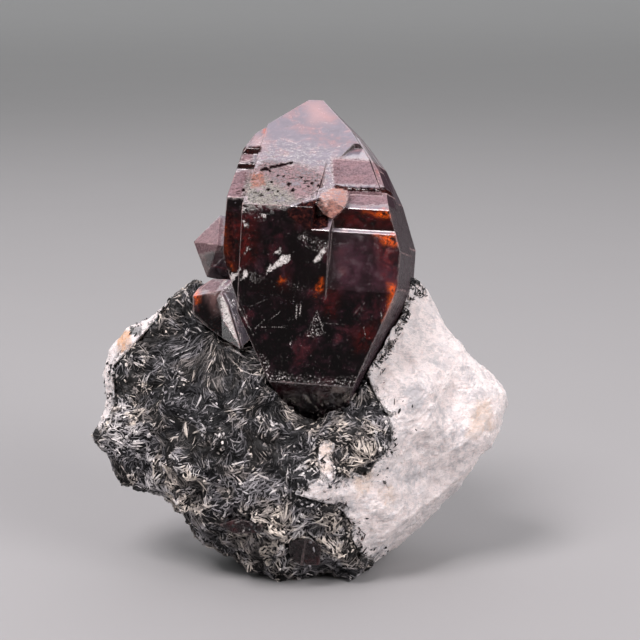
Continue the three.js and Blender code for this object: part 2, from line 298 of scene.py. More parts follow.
def line_distance(spots: Array, line: Line) -> Array:
    """How far each spot lies from a bent line, or from a spot where the line has one corner.

    Args:
        spots: two coordinates a row.
        line: the line's corners.

    Returns:
        One distance for each spot.
    """
    corners = np.array(line, float)
    if len(corners) == 1:
        return np.linalg.norm(spots - corners[0], axis=1)
    return segment_distance(spots, zip(corners, corners[1:]))


def inside(spots: Array, outline: Line) -> Array:
    """Tells which spots lie inside an outline.

    Args:
        spots: two coordinates a row.
        outline: the outline's corners in order.

    Returns:
        True for each spot inside.
    """
    x, y = spots.T
    odd = np.zeros(len(spots), bool)
    for (ax, ay), (bx, by) in zip(outline, [*outline[1:], outline[0]]):
        if ay == by:
            continue
        crosses = (ay > y) != (by > y)
        odd ^= crosses & (x < (bx - ax) * (y - ay) / (by - ay) + ax)
    return odd


class Domain(Enum):
    """What a painted value is stored on."""

    POINT = "POINT"
    FACE = "FACE"


class Body:
    """A visible mesh made in this file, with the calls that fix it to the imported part."""

    def __init__(self, name: str, mesh: bpy.types.Mesh) -> None:
        """Puts the mesh in the scene.

        Args:
            name: the piece's name.
            mesh: its mesh, in standing metres.
        """
        self.mesh = mesh
        self.object = bpy.data.objects.new(name, mesh)
        bpy.context.scene.collection.objects.link(self.object)

    @classmethod
    def from_arrays(cls, name: str, points: Array, triangles: Array) -> "Body":
        """Makes a piece from points and triangles.

        Args:
            name: the piece's name.
            points: one point a row, in metres.
            triangles: three point numbers a row.

        Returns:
            The new piece.
        """
        mesh = bpy.data.meshes.new(name)
        mesh.vertices.add(len(points))
        mesh.vertices.foreach_set("co", above_floor(points).astype(np.float32).ravel())
        mesh.loops.add(triangles.size)
        mesh.loops.foreach_set("vertex_index", triangles.astype(np.int32).ravel())
        mesh.polygons.add(len(triangles))
        mesh.polygons.foreach_set("loop_start", np.arange(0, triangles.size, 3, dtype=np.int32))
        mesh.update(calc_edges=True)
        mesh.validate()
        return cls(name, mesh)

    @property
    def points(self) -> Array:
        """The mesh's points, one a row, in metres."""
        flat = np.empty(len(self.mesh.vertices) * 3, np.float32)
        self.mesh.vertices.foreach_get("co", flat)
        return flat.reshape(-1, 3).astype(float)

    @points.setter
    def points(self, points: Array) -> None:
        """Moves the mesh's points.

        Args:
            points: one point a row, in metres.
        """
        self.mesh.vertices.foreach_set("co", above_floor(points).astype(np.float32).ravel())
        self.mesh.update()

    @property
    def normals(self) -> Array:
        """The mesh's point normals, one a row."""
        flat = np.empty(len(self.mesh.vertices) * 3, np.float32)
        self.mesh.vertices.foreach_get("normal", flat)
        return flat.reshape(-1, 3).astype(float)

    def triangles(self) -> Array:
        """Returns the mesh's triangles, three point numbers a row."""
        self.mesh.calc_loop_triangles()
        flat = np.empty(len(self.mesh.loop_triangles) * 3, np.int32)
        self.mesh.loop_triangles.foreach_get("vertices", flat)
        return flat.reshape(-1, 3)

    def raise_by(self, heights: Array) -> None:
        """Moves each point along its normal.

        Args:
            heights: how far, in millimetres.
        """
        self.points = self.points + self.normals * heights[:, None] * MM

    def paint(self, name: str, values: Array, domain: Domain = Domain.POINT) -> None:
        """Stores a number for each point or face.

        Args:
            name: what materials call the numbers.
            values: the numbers.
            domain: what they belong to.
        """
        layer = self.mesh.attributes.new(name, "FLOAT", domain.value)
        layer.data.foreach_set("value", values.astype(np.float32))

    def finish(self, material: bpy.types.Material, slot: str, smooth: bool, *replaced: str) -> None:
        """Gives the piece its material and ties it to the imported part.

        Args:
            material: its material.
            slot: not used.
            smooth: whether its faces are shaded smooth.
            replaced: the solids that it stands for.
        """
        self.mesh.materials.clear()
        self.mesh.materials.append(material)
        self.mesh.polygons.foreach_set("use_smooth", np.full(len(self.mesh.polygons), smooth))
        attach(self.object, BODY)
        if replaced:
            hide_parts(*replaced)
        LOG.info("%s: %d faces", self.object.name, len(self.mesh.polygons))


def welded_copy(node: str, weld: float = 0.002) -> bmesh.types.BMesh:
    """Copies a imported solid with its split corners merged.

    Args:
        node: the solid's name.
        weld: how near two corners lie to be merged, in millimetres.

    Returns:
        An editable mesh of flat facets.
    """
    work = bmesh.new()
    work.from_mesh(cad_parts[node].data)
    bmesh.ops.remove_doubles(work, verts=work.verts, dist=weld * MM)
    return work


def voxel_body(node: str, name: str, voxel: float) -> Body:
    """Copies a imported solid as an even, dense skin.

    Args:
        node: the solid's name.
        name: the new piece's name.
        voxel: the width of the skin's faces, in millimetres.

    Returns:
        The new piece.
    """
    work = welded_copy(node)
    mesh = bpy.data.meshes.new(name)
    work.to_mesh(mesh)
    work.free()
    rough = Body(name + "_source", mesh)
    remesh = rough.object.modifiers.new("skin", "REMESH")
    remesh.mode = "VOXEL"
    remesh.voxel_size = voxel * MM
    evaluated = rough.object.evaluated_get(bpy.context.evaluated_depsgraph_get())
    skin = bpy.data.meshes.new_from_object(evaluated)
    bpy.data.objects.remove(rough.object)
    skin.name = name
    return Body(name, skin)


# ---- materials ------------------------------------------------------------------------------------------


class Wire:
    """An output of a material node. Arithmetic on it adds Math nodes."""

    def __init__(self, maker: "NodeMaker", socket: bpy.types.NodeSocket) -> None:
        """Wraps a socket.

        Args:
            maker: what adds nodes to the same material.
            socket: the output.
        """
        self.maker = maker
        self.socket = socket

    def _math(self, operation: str, first: Any, second: Any) -> "Wire":
        """Adds a Math node.

        Args:
            operation: what it works out.
            first: its first value.
            second: its second value.

        Returns:
            Its result.
        """
        return self.maker.add("ShaderNodeMath", {"operation": operation}, {0: first, 1: second})

    def __add__(self, other: Any) -> "Wire":
        """Returns self + other."""
        return self._math("ADD", self, other)

    __radd__ = __add__

    def __sub__(self, other: Any) -> "Wire":
        """Returns self - other."""
        return self._math("SUBTRACT", self, other)

    def __rsub__(self, other: Any) -> "Wire":
        """Returns other - self."""
        return self._math("SUBTRACT", other, self)

    def __mul__(self, other: Any) -> "Wire":
        """Returns self * other."""
        return self._math("MULTIPLY", self, other)

    __rmul__ = __mul__

    def step(self, low: float, high: float) -> "Wire":
        """Steps smoothly from 0 where self is low to 1 where it is high.

        Args:
            low: where the step is 0.
            high: where the step is 1.

        Returns:
            The step.
        """
        values = {"Value": self, "From Min": low, "From Max": high}
        return self.maker.add("ShaderNodeMapRange", {"interpolation_type": "SMOOTHSTEP"}, values)

    def between(self, low: Any, high: Any) -> "Wire":
        """Mixes two colours, with self as the share of the second.

        Args:
            low: the colour where self is 0.
            high: the colour where self is 1.

        Returns:
            The mixed colour.
        """
        return self.maker.add(
            "ShaderNodeMix", {"data_type": "RGBA"}, {"Factor": self, "A": low, "B": high}, "Result"
        )


class NodeMaker:
    """Adds nodes to one material."""

    def __init__(self, name: str) -> None:
        """Starts an empty material.

        Args:
            name: the material's name.
        """
        self.material = bpy.data.materials.new(name)
        self.material.use_nodes = True
        self.tree = self.material.node_tree
        self.tree.nodes.clear()

    def add(
        self,
        kind: str,
        settings: Mapping[str, Any] | None = None,
        values: Mapping[str | int, Any] | None = None,
        output: str | int = 0,
    ) -> Wire:
        """Adds a node.

        Args:
            kind: the node's type.
            settings: its own settings; "stops" holds a ramp's places and colours.
            values: a value or a Wire for each input that isn't left as it is.
            output: the output that is wanted.

        Returns:
            That output.
        """
        node = self.tree.nodes.new(kind)
        for key, setting in (settings or {}).items():
            if key == "stops":
                self._set_stops(node.color_ramp, setting)
            else:
                setattr(node, key, setting)
        for key, value in (values or {}).items():
            socket = self._pick(node.inputs, key)
            if isinstance(value, Wire):
                self.tree.links.new(value.socket, socket)
            elif socket.type == "RGBA":
                socket.default_value = (*value, 1.0)
            else:
                socket.default_value = value
        return Wire(self, self._pick(node.outputs, output))

    @staticmethod
    def _pick(sockets: Any, key: str | int) -> bpy.types.NodeSocket:
        """Finds a socket that is in use by its name or number.

        Args:
            sockets: a node's inputs or outputs.
            key: the name or the number.

        Returns:
            The socket.
        """
        if isinstance(key, int):
            return sockets[key]
        return next(socket for socket in sockets if socket.name == key and socket.enabled)

    @staticmethod
    def _set_stops(colour_ramp: bpy.types.ColorRamp, stops: Sequence[tuple[float, Colour]]) -> None:
        """Sets a ramp's stops.

        Args:
            colour_ramp: the ramp.
            stops: the place and the colour of each stop.
        """
        while len(colour_ramp.elements) < len(stops):
            colour_ramp.elements.new(1.0)
        for element, (place, colour) in zip(colour_ramp.elements, stops):
            element.position = place
            element.color = (*colour, 1.0)

    def place(self) -> Wire:
        """Returns the point being shaded, in metres."""
        return self.add("ShaderNodeTexCoord", output="Object")

    def painted(self, name: str) -> Wire:
        """Returns the numbers painted under a name."""
        return self.add("ShaderNodeAttribute", {"attribute_name": name}, output="Fac")

    def noise(
        self,
        size: float,
        detail: float = 4.0,
        rough: float = 0.6,
        bend: float = 0.0,
        stretch: tuple[float, float, float] = (1.0, 1.0, 1.0),
    ) -> Wire:
        """Adds noise.

        Args:
            size: the width of its features, in millimetres.
            detail: how many finer sizes it holds.
            rough: how strong the finer sizes are.
            bend: how much it is bent by itself.
            stretch: how closely its features lie along X, Y and Z.

        Returns:
            The noise, from 0 to 1.
        """
        place = self.place()
        if stretch != (1.0, 1.0, 1.0):
            place = self.add("ShaderNodeMapping", None, {"Vector": place, "Scale": stretch})
        values = {
            "Vector": place,
            "Scale": 1 / (size * MM),
            "Detail": detail,
            "Roughness": rough,
            "Distortion": bend,
        }
        return self.add("ShaderNodeTexNoise", None, values)

    def cells(self, size: float) -> Wire:
        """Adds cells.

        Args:
            size: their width, in millimetres.

        Returns:
            How far each place is from the middle of its cell.
        """
        values = {"Vector": self.place(), "Scale": 1 / (size * MM)}
        return self.add("ShaderNodeTexVoronoi", {"feature": "F1"}, values, "Distance")

    def growth_lines(self, size: float) -> Wire:
        """Adds fine bent lines across the crystal's length.

        Args:
            size: how far apart they lie, in millimetres.

        Returns:
            The lines, from 0 to 1.
        """
        values = {
            "Vector": self.place(),
            "Scale": 0.3 / (size * MM),
            "Distortion": 9.0,
            "Detail": 2.0,
            "Detail Scale": 0.16,
        }
        return self.add("ShaderNodeTexWave", {"bands_direction": "Z"}, values, "Fac")

    def bump(self, height: Wire, depth: float, strength: float = 1.0) -> Wire:
        """Turns a height into a bent normal.

        Args:
            height: the height, from 0 to 1.
            depth: how deep that is, in millimetres.
            strength: how much of it is used.

        Returns:
            The normal.
        """
        values = {"Height": height, "Distance": depth * MM, "Strength": strength}
        return self.add("ShaderNodeBump", None, values)

    def principled(self, **values: Any) -> Wire:
        """Adds the main shader; an underscore in a name stands for a space."""
        return self.add(
            "ShaderNodeBsdfPrincipled", None, {key.replace("_", " "): value for key, value in values.items()}
        )

    def done(self, surface: Wire, volume: Wire | None = None) -> bpy.types.Material:
        """Connects the shaders and returns the material.

        Args:
            surface: the surface's shader.
            volume: the shader of what is inside, if any.

        Returns:
            The material.
        """
        node = self.tree.nodes.new("ShaderNodeOutputMaterial")
        for name, shader in (("Surface", surface), ("Volume", volume)):
            if shader is not None:
                self.tree.links.new(shader.socket, node.inputs[name])
        return self.material


def darker(colour: Colour, share: float) -> Colour:
    """Darkens a colour.

    Args:
        colour: the colour.
        share: how much of it is left.

    Returns:
        The darker colour.
    """
    return tuple(share * channel for channel in colour)


@dataclass(frozen=True)
class ZirconFinish:
    """Glassy dark red zircon that light gets through only where it is thin, with an orange glow painted on
    such places.
    """

    name: str = "zircon"
    deep: Colour = (0.005, 0.002, 0.003)
    brown: Colour = (0.064, 0.020, 0.034)
    red: Colour = (0.17, 0.010, 0.007)
    glow: Colour = (0.90, 0.13, 0.010)
    pink: Colour = (0.31, 0.120, 0.085)
    # frost film with painted sheen: a pale lilac that also stands in for overhead light reflected by upward
    # faces
    frost_and_sheen: Colour = (0.21, 0.190, 0.235)
    blush: Colour = (0.27, 0.17, 0.185)
    rose: Colour = (0.44, 0.25, 0.24)
    crust: Colour = (0.70, 0.66, 0.64)
    etched: Colour = (0.29, 0.28, 0.25)
    # worn edges with a painted highlight
    chipped_and_highlight: Colour = (0.38, 0.27, 0.27)
    hollow: Colour = (0.008, 0.004, 0.005)
    # the dull dark red of painted shade
    shaded_red: Colour = (0.07, 0.018, 0.014)
    # painted glow of light through the crystal, on back faces
    rear_glow: Colour = (0.15, 0.027, 0.021)
    # painted shade on the side faces
    flank_shade: Colour = (0.055, 0.036, 0.044)
    clear: Colour = (0.80, 0.50, 0.48)
    absorbed: Colour = (0.86, 0.20, 0.08)
    density: float = 900.0
    refraction: float = 1.95
    dull_share: float = 0.35
    worn: float = 0.0

    def material(self) -> bpy.types.Material:
        """Returns the material."""
        return ZirconSkin(self).material()


class ZirconSkin:
    """The nodes of a zircon's material: a see-through crystal under a share of opaque crust."""

    # each mark's name, how ragged its border is and how softly it ends, in millimetres
    borders = (
        ("glow", 7.0, 0.5), ("pink", 3.0, 0.3), ("blush", 6.0, 1.6), ("red", 9.0, 1.4),
        ("etch", 9.0, 0.25), ("speckle", 2.4, 0.5), ("pits", 2.0, 0.12), ("edge", 1.4, 0.26),
        ("sheen", 4.0, 1.5), ("bare", 1.6, 0.3), ("matt", 3.0, 0.4),
    )

    def __init__(self, finish: ZirconFinish) -> None:
        """Adds the noises and the marks that the other nodes are worked out from.

        Args:
            finish: the colours and amounts.
        """
        self.finish = finish
        self.maker = maker = NodeMaker(finish.name)
        self.broad = maker.noise(5.0, 3.0)
        self.patchy = patchy = maker.noise(2.2, 5.0, 0.65, 0.8)
        self.fine = fine = maker.noise(0.45, 5.0, 0.7)
        self.speck = maker.noise(0.28, 3.0, 0.7)
        self.scratch = maker.noise(0.4, 2.0, 0.6, 0.6, stretch=(0.16, 1.0, 1.2))
        self.scale = maker.cells(0.65).step(0.62, 0.25)
        self.lines = maker.growth_lines(0.55) * patchy.step(0.44, 0.6)
        flow = maker.noise(1.5, 4.0, 0.62, 1.4, stretch=(0.5, 1.0, 1.0)) - 0.5
        self.flow = (flow * flow).step(0.0012, 0.0)
        self.dash = maker.noise(0.55, 3.0, 0.6, 0.4, stretch=(0.4, 1.0, 1.0))
        self.ragged = (patchy - 0.5) * 0.65 + (fine - 0.5) * 0.35
        self.marks = {
            name: (maker.painted(name) + self.ragged * spread).step(soft, -soft)
            for name, spread, soft in self.borders
        }
        # upward faces get frost and painted sheen: a dull pale lilac film that also stands in for the
        # overhead light they reflect
        frost_and_sheen = maker.painted("frost_and_sheen") * (0.80 + self.lines * 0.1 + (patchy - 0.5) * 0.6)
        # no frost or sheen where shade is painted
        self.frost_and_sheen = frost_and_sheen * (1.0 - self.marks["bare"])
        self.rough_share = maker.painted("etch").step(6.0, 0.0) * self.frost_and_sheen

    def own_colour(self) -> Wire:
        """Adds the crystal's own colour, and keeps the shares that its surface also needs.

        Returns:
            The colour.
        """
        maker, finish, marks = self.maker, self.finish, self.marks
        broad, patchy, fine = self.broad, self.patchy, self.fine
        # painted reflection: the sheen mark spreads purple-brown over the panel, standing in for its lilac
        # sheen
        brown = (broad * 0.5 + patchy * 0.5 + marks["sheen"] * 0.12).step(0.48, 0.68)
        colour = brown.between(finish.deep, finish.brown)
        reddish = marks["red"] * 0.9 + broad.step(0.56, 0.68) * 0.4
        self.deep_red = reddish * (patchy * 0.6 + fine * 0.4).step(0.42, 0.62)
        colour = self.deep_red.between(colour, finish.red)
        # painted glow: back faces get a redder colour, standing in for light shining through the crystal
        self.rear_glow = maker.painted("back") * (broad * 0.5 + patchy * 0.5).step(0.38, 0.60)
        colour = (self.rear_glow * 0.85).between(colour, finish.rear_glow)
        # painted sheen with frost: upward faces are turned pale lilac
        frost_and_sheen_colour = (patchy * 0.6 + broad * 0.4).step(0.46, 0.64).between(finish.frost_and_sheen, finish.blush)
        colour = self.frost_and_sheen.between(colour, frost_and_sheen_colour)
        # painted glow: bright orange where light shines through thin parts
        self.glow = marks["glow"] * (fine * 0.6 + patchy * 0.4).step(0.38, 0.58)
        colour = self.glow.between(colour, finish.glow)
        colour = (marks["blush"] * (0.2 + fine * 0.8)).between(colour, finish.rose)
        grainy = (self.scratch * 0.4 + fine * 0.6).step(0.34, 0.56)
        return (marks["pink"] * grainy).between(colour, finish.pink)

    def roughness(self) -> Wire:
        """Returns how rough the crystal's surface is."""
        maker, marks, patchy = self.maker, self.marks, self.patchy
        rough = 0.05 + self.finish.worn + self.broad.step(0.35, 0.7) * 0.05
        rough = rough + marks["etch"] * 0.3 + marks["pink"] * 0.3
        rough = rough + patchy.step(0.5, 0.7) * 0.12 + self.frost_and_sheen * 0.12 + maker.painted("side") * 0.18
        return rough + maker.painted("back") * (0.10 + patchy * 0.25) + marks["edge"] * 0.35

    def relief(self) -> Wire:
        """Returns the normal bent by the crystal's fine relief."""
        marks, fine = self.marks, self.fine
        uneven = marks["etch"] * 2.0 + marks["pink"] * 1.5 + self.rough_share * 1.2
        height = self.patchy * 0.6 + fine * (0.2 + uneven) + self.scale * marks["pink"]
        height = height - marks["pits"] * 4.0
        height = height + self.lines * (0.04 + self.frost_and_sheen * 0.2) - self.flow * self.rough_share * 2.0
        return self.maker.bump(height, 0.06, 0.45)

    def crystal(self) -> Wire:
        """Adds the crystal's shader, see-through with a dull share.

        Returns:
            The shader.
        """
        maker, finish, marks = self.maker, self.finish, self.marks
        colour = self.own_colour()
        shared = {"Roughness": self.roughness(), "IOR": finish.refraction, "Normal": self.relief()}
        tinted = self.broad.step(0.35, 0.65).between(finish.clear, darker(finish.clear, 0.5))
        clear = maker.principled(Base_Color=tinted, Transmission_Weight=1.0, **shared)
        dull = maker.principled(Base_Color=colour, **shared)
        share = finish.dull_share + self.glow * 0.45 + marks["pink"] * 0.6 + marks["etch"] * 0.5
        share = share + marks["sheen"] * 0.1 + self.deep_red * 0.15 + self.rear_glow * 0.3 + self.frost_and_sheen * 1.1
        share = share + marks["edge"] * 0.3 + marks["blush"] * 0.25
        return maker.add("ShaderNodeMixShader", None, {0: share, 1: clear, 2: dull})

    def crust_colour(self, edge: Wire, pits: Wire, bare: Wire) -> Wire:
        """Adds the colour of what covers the crystal, with the painted shade and edge highlights laid over
        it.

        Args:
            edge: how far the place is a worn edge with a painted highlight.
            pits: how far it is a pit.
            bare: how far the place gets painted shade, a dull dark red.

        Returns:
            The colour.
        """
        maker, finish, marks = self.maker, self.finish, self.marks
        patchy, fine, speck = self.patchy, self.fine, self.speck
        bright = (speck * 0.5 + fine * 0.5).step(0.36, 0.54)
        colour = bright.between(darker(finish.crust, 0.12), finish.crust)
        shade = (patchy * 0.2 + fine * 0.4 + speck * 0.4).step(0.44, 0.55)
        flaky = (maker.painted("green") + self.ragged * 5.0).step(1.0, -1.0)
        flaky = flaky.between(finish.blush, finish.etched)
        flaky = marks["pink"].between(flaky, finish.pink)
        flaky = shade.between(darker(finish.etched, 0.2), flaky)
        colour = (marks["etch"] * 0.95).between(colour, flaky)
        dull_rose = shade.between(darker(finish.blush, 0.5), darker(finish.blush, 0.95))
        colour = marks["matt"].between(colour, dull_rose)
        # painted shade: side faces darkened, standing in for a dimmer reflection
        colour = maker.painted("side").between(colour, finish.flank_shade)
        # chipped edges and painted highlight: every sharp edge is made paler
        colour = edge.step(0.0, 0.2).between(colour, finish.chipped_and_highlight)
        colour = pits.between(colour, finish.hollow)
        # painted shade: dull dark red laid where steps and ledges are in shadow
        shaded_red = fine.step(0.45, 0.62).between(finish.hollow, finish.shaded_red)
        return bare.step(0.0, 0.1).between(colour, shaded_red)

    def material(self) -> bpy.types.Material:
        """Returns the material."""
        maker, marks = self.maker, self.marks
        patchy, fine, speck, rough_share = self.patchy, self.fine, self.speck, self.rough_share
        crystal = self.crystal()
        # worn edges with a painted highlight along every sharp edge
        edge = marks["edge"] * fine.step(0.38, 0.56) * 0.6
        dashes = rough_share * self.dash.step(0.57, 0.61) * patchy.step(0.40, 0.52) * 0.85
        pits = marks["pits"] + dashes
        # painted shade over step shadows, ledges and the side crystal's upper face
        bare = marks["bare"] * (0.7 + maker.painted("frost_and_sheen") * 0.3)
        streak = (maker.painted("crust") + self.ragged * 3.2 + (speck - 0.5) * 1.6).step(0.08, -0.12)
        crack = (maker.painted("crack") + (fine - 0.5) * 0.3).step(0.08, -0.03)
        crack = crack * patchy.step(0.42, 0.62) * speck.step(0.35, 0.6) * 0.7
        dots = marks["speckle"] * speck.step(0.55, 0.66) * 0.8 + speck.step(0.67, 0.72) * 0.5
        crust = maker.principled(
            Base_Color=self.crust_colour(edge, pits, bare),
            Roughness=0.6,
            Specular_IOR_Level=0.0,
            Normal=maker.bump(fine + speck * 0.5, 0.2, 0.9),
        )
        threads = self.flow * rough_share * fine.step(0.4, 0.55) * 0.5
        share = streak + crack + dots + edge * (1.0 - marks["bare"]) + pits + bare + threads
        # painted shade: a dark share over the side faces dims their reflection
        share = share + maker.painted("side") * (1.0 - self.glow) * 0.65
        flaked = marks["etch"] * (patchy * 0.5 + fine * 0.5).step(0.36, 0.52)
        share = share + flaked * 0.9 + marks["matt"] * 0.8
        surface = maker.add("ShaderNodeMixShader", None, {0: share, 1: crystal, 2: crust})
        inside_values = {"Color": self.finish.absorbed, "Density": self.finish.density}
        return maker.done(surface, maker.add("ShaderNodeVolumeAbsorption", None, inside_values))


@dataclass(frozen=True)
class MicaFinish:
    """Dark mica, whose tone and gloss are painted blade by blade."""

    name: str = "mica"
    black: Colour = (0.003, 0.0032, 0.0034)
    dark: Colour = (0.034, 0.034, 0.036)
    grey: Colour = (0.27, 0.255, 0.26)
    cream: Colour = (0.80, 0.75, 0.71)
    warm: Colour = (1.0, 0.96, 0.90)
    cool: Colour = (0.94, 0.96, 1.0)

    def material(self) -> bpy.types.Material:
        """Returns the material."""
        maker = NodeMaker(self.name)
        tone = maker.painted("tone")
        grain = maker.noise(0.35, 3.0)
        stops = [(0.0, self.black), (0.35, self.dark), (0.65, self.grey), (1.0, self.cream)]
        mixed = tone * (0.8 + grain * 0.4)
        colour = maker.add("ShaderNodeValToRGB", {"stops": stops}, {"Fac": mixed}, "Color")
        tint = maker.noise(6.0, 3.0, 0.6, 0.5).step(0.44, 0.56).between(self.warm, self.cool)
        settings = {"data_type": "RGBA", "blend_type": "MULTIPLY"}
        colour = maker.add("ShaderNodeMix", settings, {"Factor": 1.0, "A": colour, "B": tint}, "Result")
        surface = maker.principled(
            Base_Color=colour,
            Roughness=0.5 - tone * 0.2,
            IOR=1.3,
            Normal=maker.bump(grain, 0.04, 0.5),
        )
        return maker.done(surface)


@dataclass(frozen=True)
class FeldsparFinish:
    """White granular feldspar with grey, beige and stained patches painted on it."""

    name: str = "feldspar"
    white: Colour = (0.87, 0.79, 0.775)
    grey: Colour = (0.50, 0.485, 0.50)
    beige: Colour = (0.70, 0.56, 0.47)
    stain: Colour = (0.62, 0.38, 0.24)
    dark: Colour = (0.05, 0.055, 0.05)
    see_in: float = 0.5
    depth: float = 2.2

    def material(self) -> bpy.types.Material:
        """Returns the material."""
        maker = NodeMaker(self.name)
        broad = maker.noise(3.0, 5.0, 0.65, 0.4)
        medium = maker.noise(1.1, 4.0, 0.7, 0.6)
        fine = maker.noise(0.45, 4.0, 0.7)
        speck = maker.noise(0.25, 3.0, 0.75)
        grain = maker.noise(0.5, 4.0, 0.7, 0.3, stretch=(0.35, 1.0, 1.7))
        crumbs = maker.cells(0.7)
        mottled = (broad - 0.5) * 1.3 + (medium - 0.5) * 1.0 + (fine - 0.5) * 0.6
        colour = (maker.painted("grey") + mottled * 1.6).step(0.20, 0.90).between(self.white, self.grey)
        colour = (maker.painted("beige") + mottled * 0.7).step(0.35, 0.95).between(colour, self.beige)
        colour = (maker.painted("stain") + (fine - 0.5) * 0.5).step(0.3, 0.8).between(colour, self.stain)
        colour = (maker.painted("dark") + (fine - 0.5) * 0.9).step(0.5, 0.7).between(colour, self.dark)
        # near the mica the feldspar is darkened: mica seen through it, with painted shade along the border
        mica_and_shade = (maker.painted("near") + (medium - 0.5) * 2.0 + (fine - 0.5) * 1.4).step(0.50, 0.85)
        colour = (mica_and_shade * 0.9).between(colour, self.dark)
        colour = (grain.step(0.50, 0.62) * 0.5).between(colour, self.grey)
        colour = (maker.painted("cell").step(0.45, 1.0) * 0.5).between(colour, self.grey)
        colour = (speck.step(0.57, 0.70) * 0.6).between(colour, darker(self.grey, 0.5))
        relief = broad * 0.3 + crumbs * 0.3 + fine * 0.6 + grain * 0.7
        surface = maker.principled(
            Base_Color=colour,
            Roughness=0.42 + fine * 0.3,
            Normal=maker.bump(relief, 0.30, 0.75),
            Subsurface_Weight=self.see_in,
            Subsurface_Scale=self.depth * MM,
            Subsurface_Radius=(1.0, 0.9, 0.85),
        )
        return maker.done(surface)


@dataclass(frozen=True)
class FloorFinish:
    """The pale, even surface that the specimen stands on."""

    name: str = "pale_floor"
    pale: Colour = (0.30, 0.30, 0.305)

    def material(self) -> bpy.types.Material:
        """Returns the material."""
        maker = NodeMaker(self.name)
        drift = maker.noise(60.0, 2.0)
        colour = drift.between(darker(self.pale, 0.97), self.pale)
        return maker.done(maker.principled(Base_Color=colour, Roughness=0.9))


# ---- the pieces -----------------------------------------------------------------------------------------


@dataclass(frozen=True)
class Mark:
    """Marks of one kind on the front: areas and lines, in millimetres in the face frame."""

    areas: tuple[Line, ...] = ()
    lines: tuple[tuple[float, Line], ...] = ()
    reach: float = 3.0

    def distance(self, face_points: Array, face_normals: Array) -> Array:
        """How far each point lies outside the marks; less than 0 is inside.

        Args:
            face_points: one point a row, in millimetres in the face frame.
            face_normals: the direction that each point faces.

        Returns:
            One distance for each point, in millimetres, at most the reach.
        """
        spots = face_points[:, [0, 2]]
        nearest = np.full(len(spots), self.reach)
        for outline in self.areas:
            edge = line_distance(spots, [*outline, outline[0]])
            nearest = np.minimum(nearest, np.where(inside(spots, outline), -edge, edge))
        for half_width, line in self.lines:
            nearest = np.minimum(nearest, line_distance(spots, line) - half_width)
        nearest[face_normals[:, 1] > 0] = self.reach
        return np.clip(nearest, -self.reach, self.reach)


@dataclass(frozen=True)
class Facets:
    """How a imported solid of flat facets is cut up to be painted, in millimetres."""

    weld: float = 0.09
    bevel: float = 0.11
    longest: float = 0.6
    sharp: float = math.radians(8)
    flat: float = math.radians(0.6)
    rounds: int = 9
    unseen_share: float = 2.0
    fine_shares: tuple[float, ...] = (0.6, 0.4)

    def body(self, node: str, name: str, near: Mark = Mark()) -> Body:
        """Copies a solid with worn edges and its facets cut into small triangles.

        Args:
            node: the solid's name.
            name: the new piece's name.
            near: marks whose neighbourhood is cut finer.

        Returns:
            The new piece, with the distance to its nearest sharp edge painted on it.
        """
        work = welded_copy(node, self.weld)
        bmesh.ops.dissolve_limit(work, angle_limit=self.flat, verts=work.verts, edges=work.edges)
        sharp = [edge for edge in work.edges if edge.calc_face_angle(0) > self.sharp]
        ends = np.array([[corner.co for corner in edge.verts] for edge in sharp])
        bmesh.ops.bevel(
            work, geom=sharp, offset=self.bevel * MM, offset_type="OFFSET", segments=1, profile=0.5,
            affect="EDGES", clamp_overlap=False,
        )
        bmesh.ops.triangulate(work, faces=work.faces)
        for _ in range(self.rounds):
            unseen = self.long_edges(work, self.unseen_share)
            self.split(work, unseen + self.long_edges(work, 1.0, in_front=True))
        for share in self.fine_shares if near.areas or near.lines else ():
            edges = self.long_edges(work, share, in_front=True)
            middles = np.array([(edge.verts[0].co + edge.verts[1].co) / 2 for edge in edges])
            away = near.distance(FACE.to_face(middles), np.tile((0.0, -1.0, 0.0), (len(edges), 1)))
            self.split(work, [edge for edge, gap in zip(edges, away) if gap < self.longest])
        mesh = bpy.data.meshes.new(name)
        work.to_mesh(mesh)
        work.free()
        body = Body(name, mesh)
        body.paint("edge", segment_distance(body.points, ends) / MM)
        return body

    def long_edges(
        self, work: bmesh.types.BMesh, share: float, in_front: bool = False
    ) -> list[bmesh.types.BMEdge]:
        """Picks the edges that are too long.

        Args:
            work: the mesh.
            share: how long an edge may be, as a share of the longest in front.
            in_front: whether only edges of faces that face the front are wanted.

        Returns:
            The edges.
        """
        return [
            edge
            for edge in work.edges
            if edge.calc_length() > share * self.longest * MM
            and (not in_front or any(face.normal.y < 0 for face in edge.link_faces))
        ]

    @staticmethod
    def split(work: bmesh.types.BMesh, edges: Sequence[bmesh.types.BMEdge]) -> None:
        """Halves edges and cuts what is left into triangles.

        Args:
            work: the mesh.
            edges: its edges that are halved.
        """
        if edges:
            bmesh.ops.subdivide_edges(work, edges=list(set(edges)), cuts=1, use_grid_fill=True)
            bmesh.ops.triangulate(work, faces=work.faces)


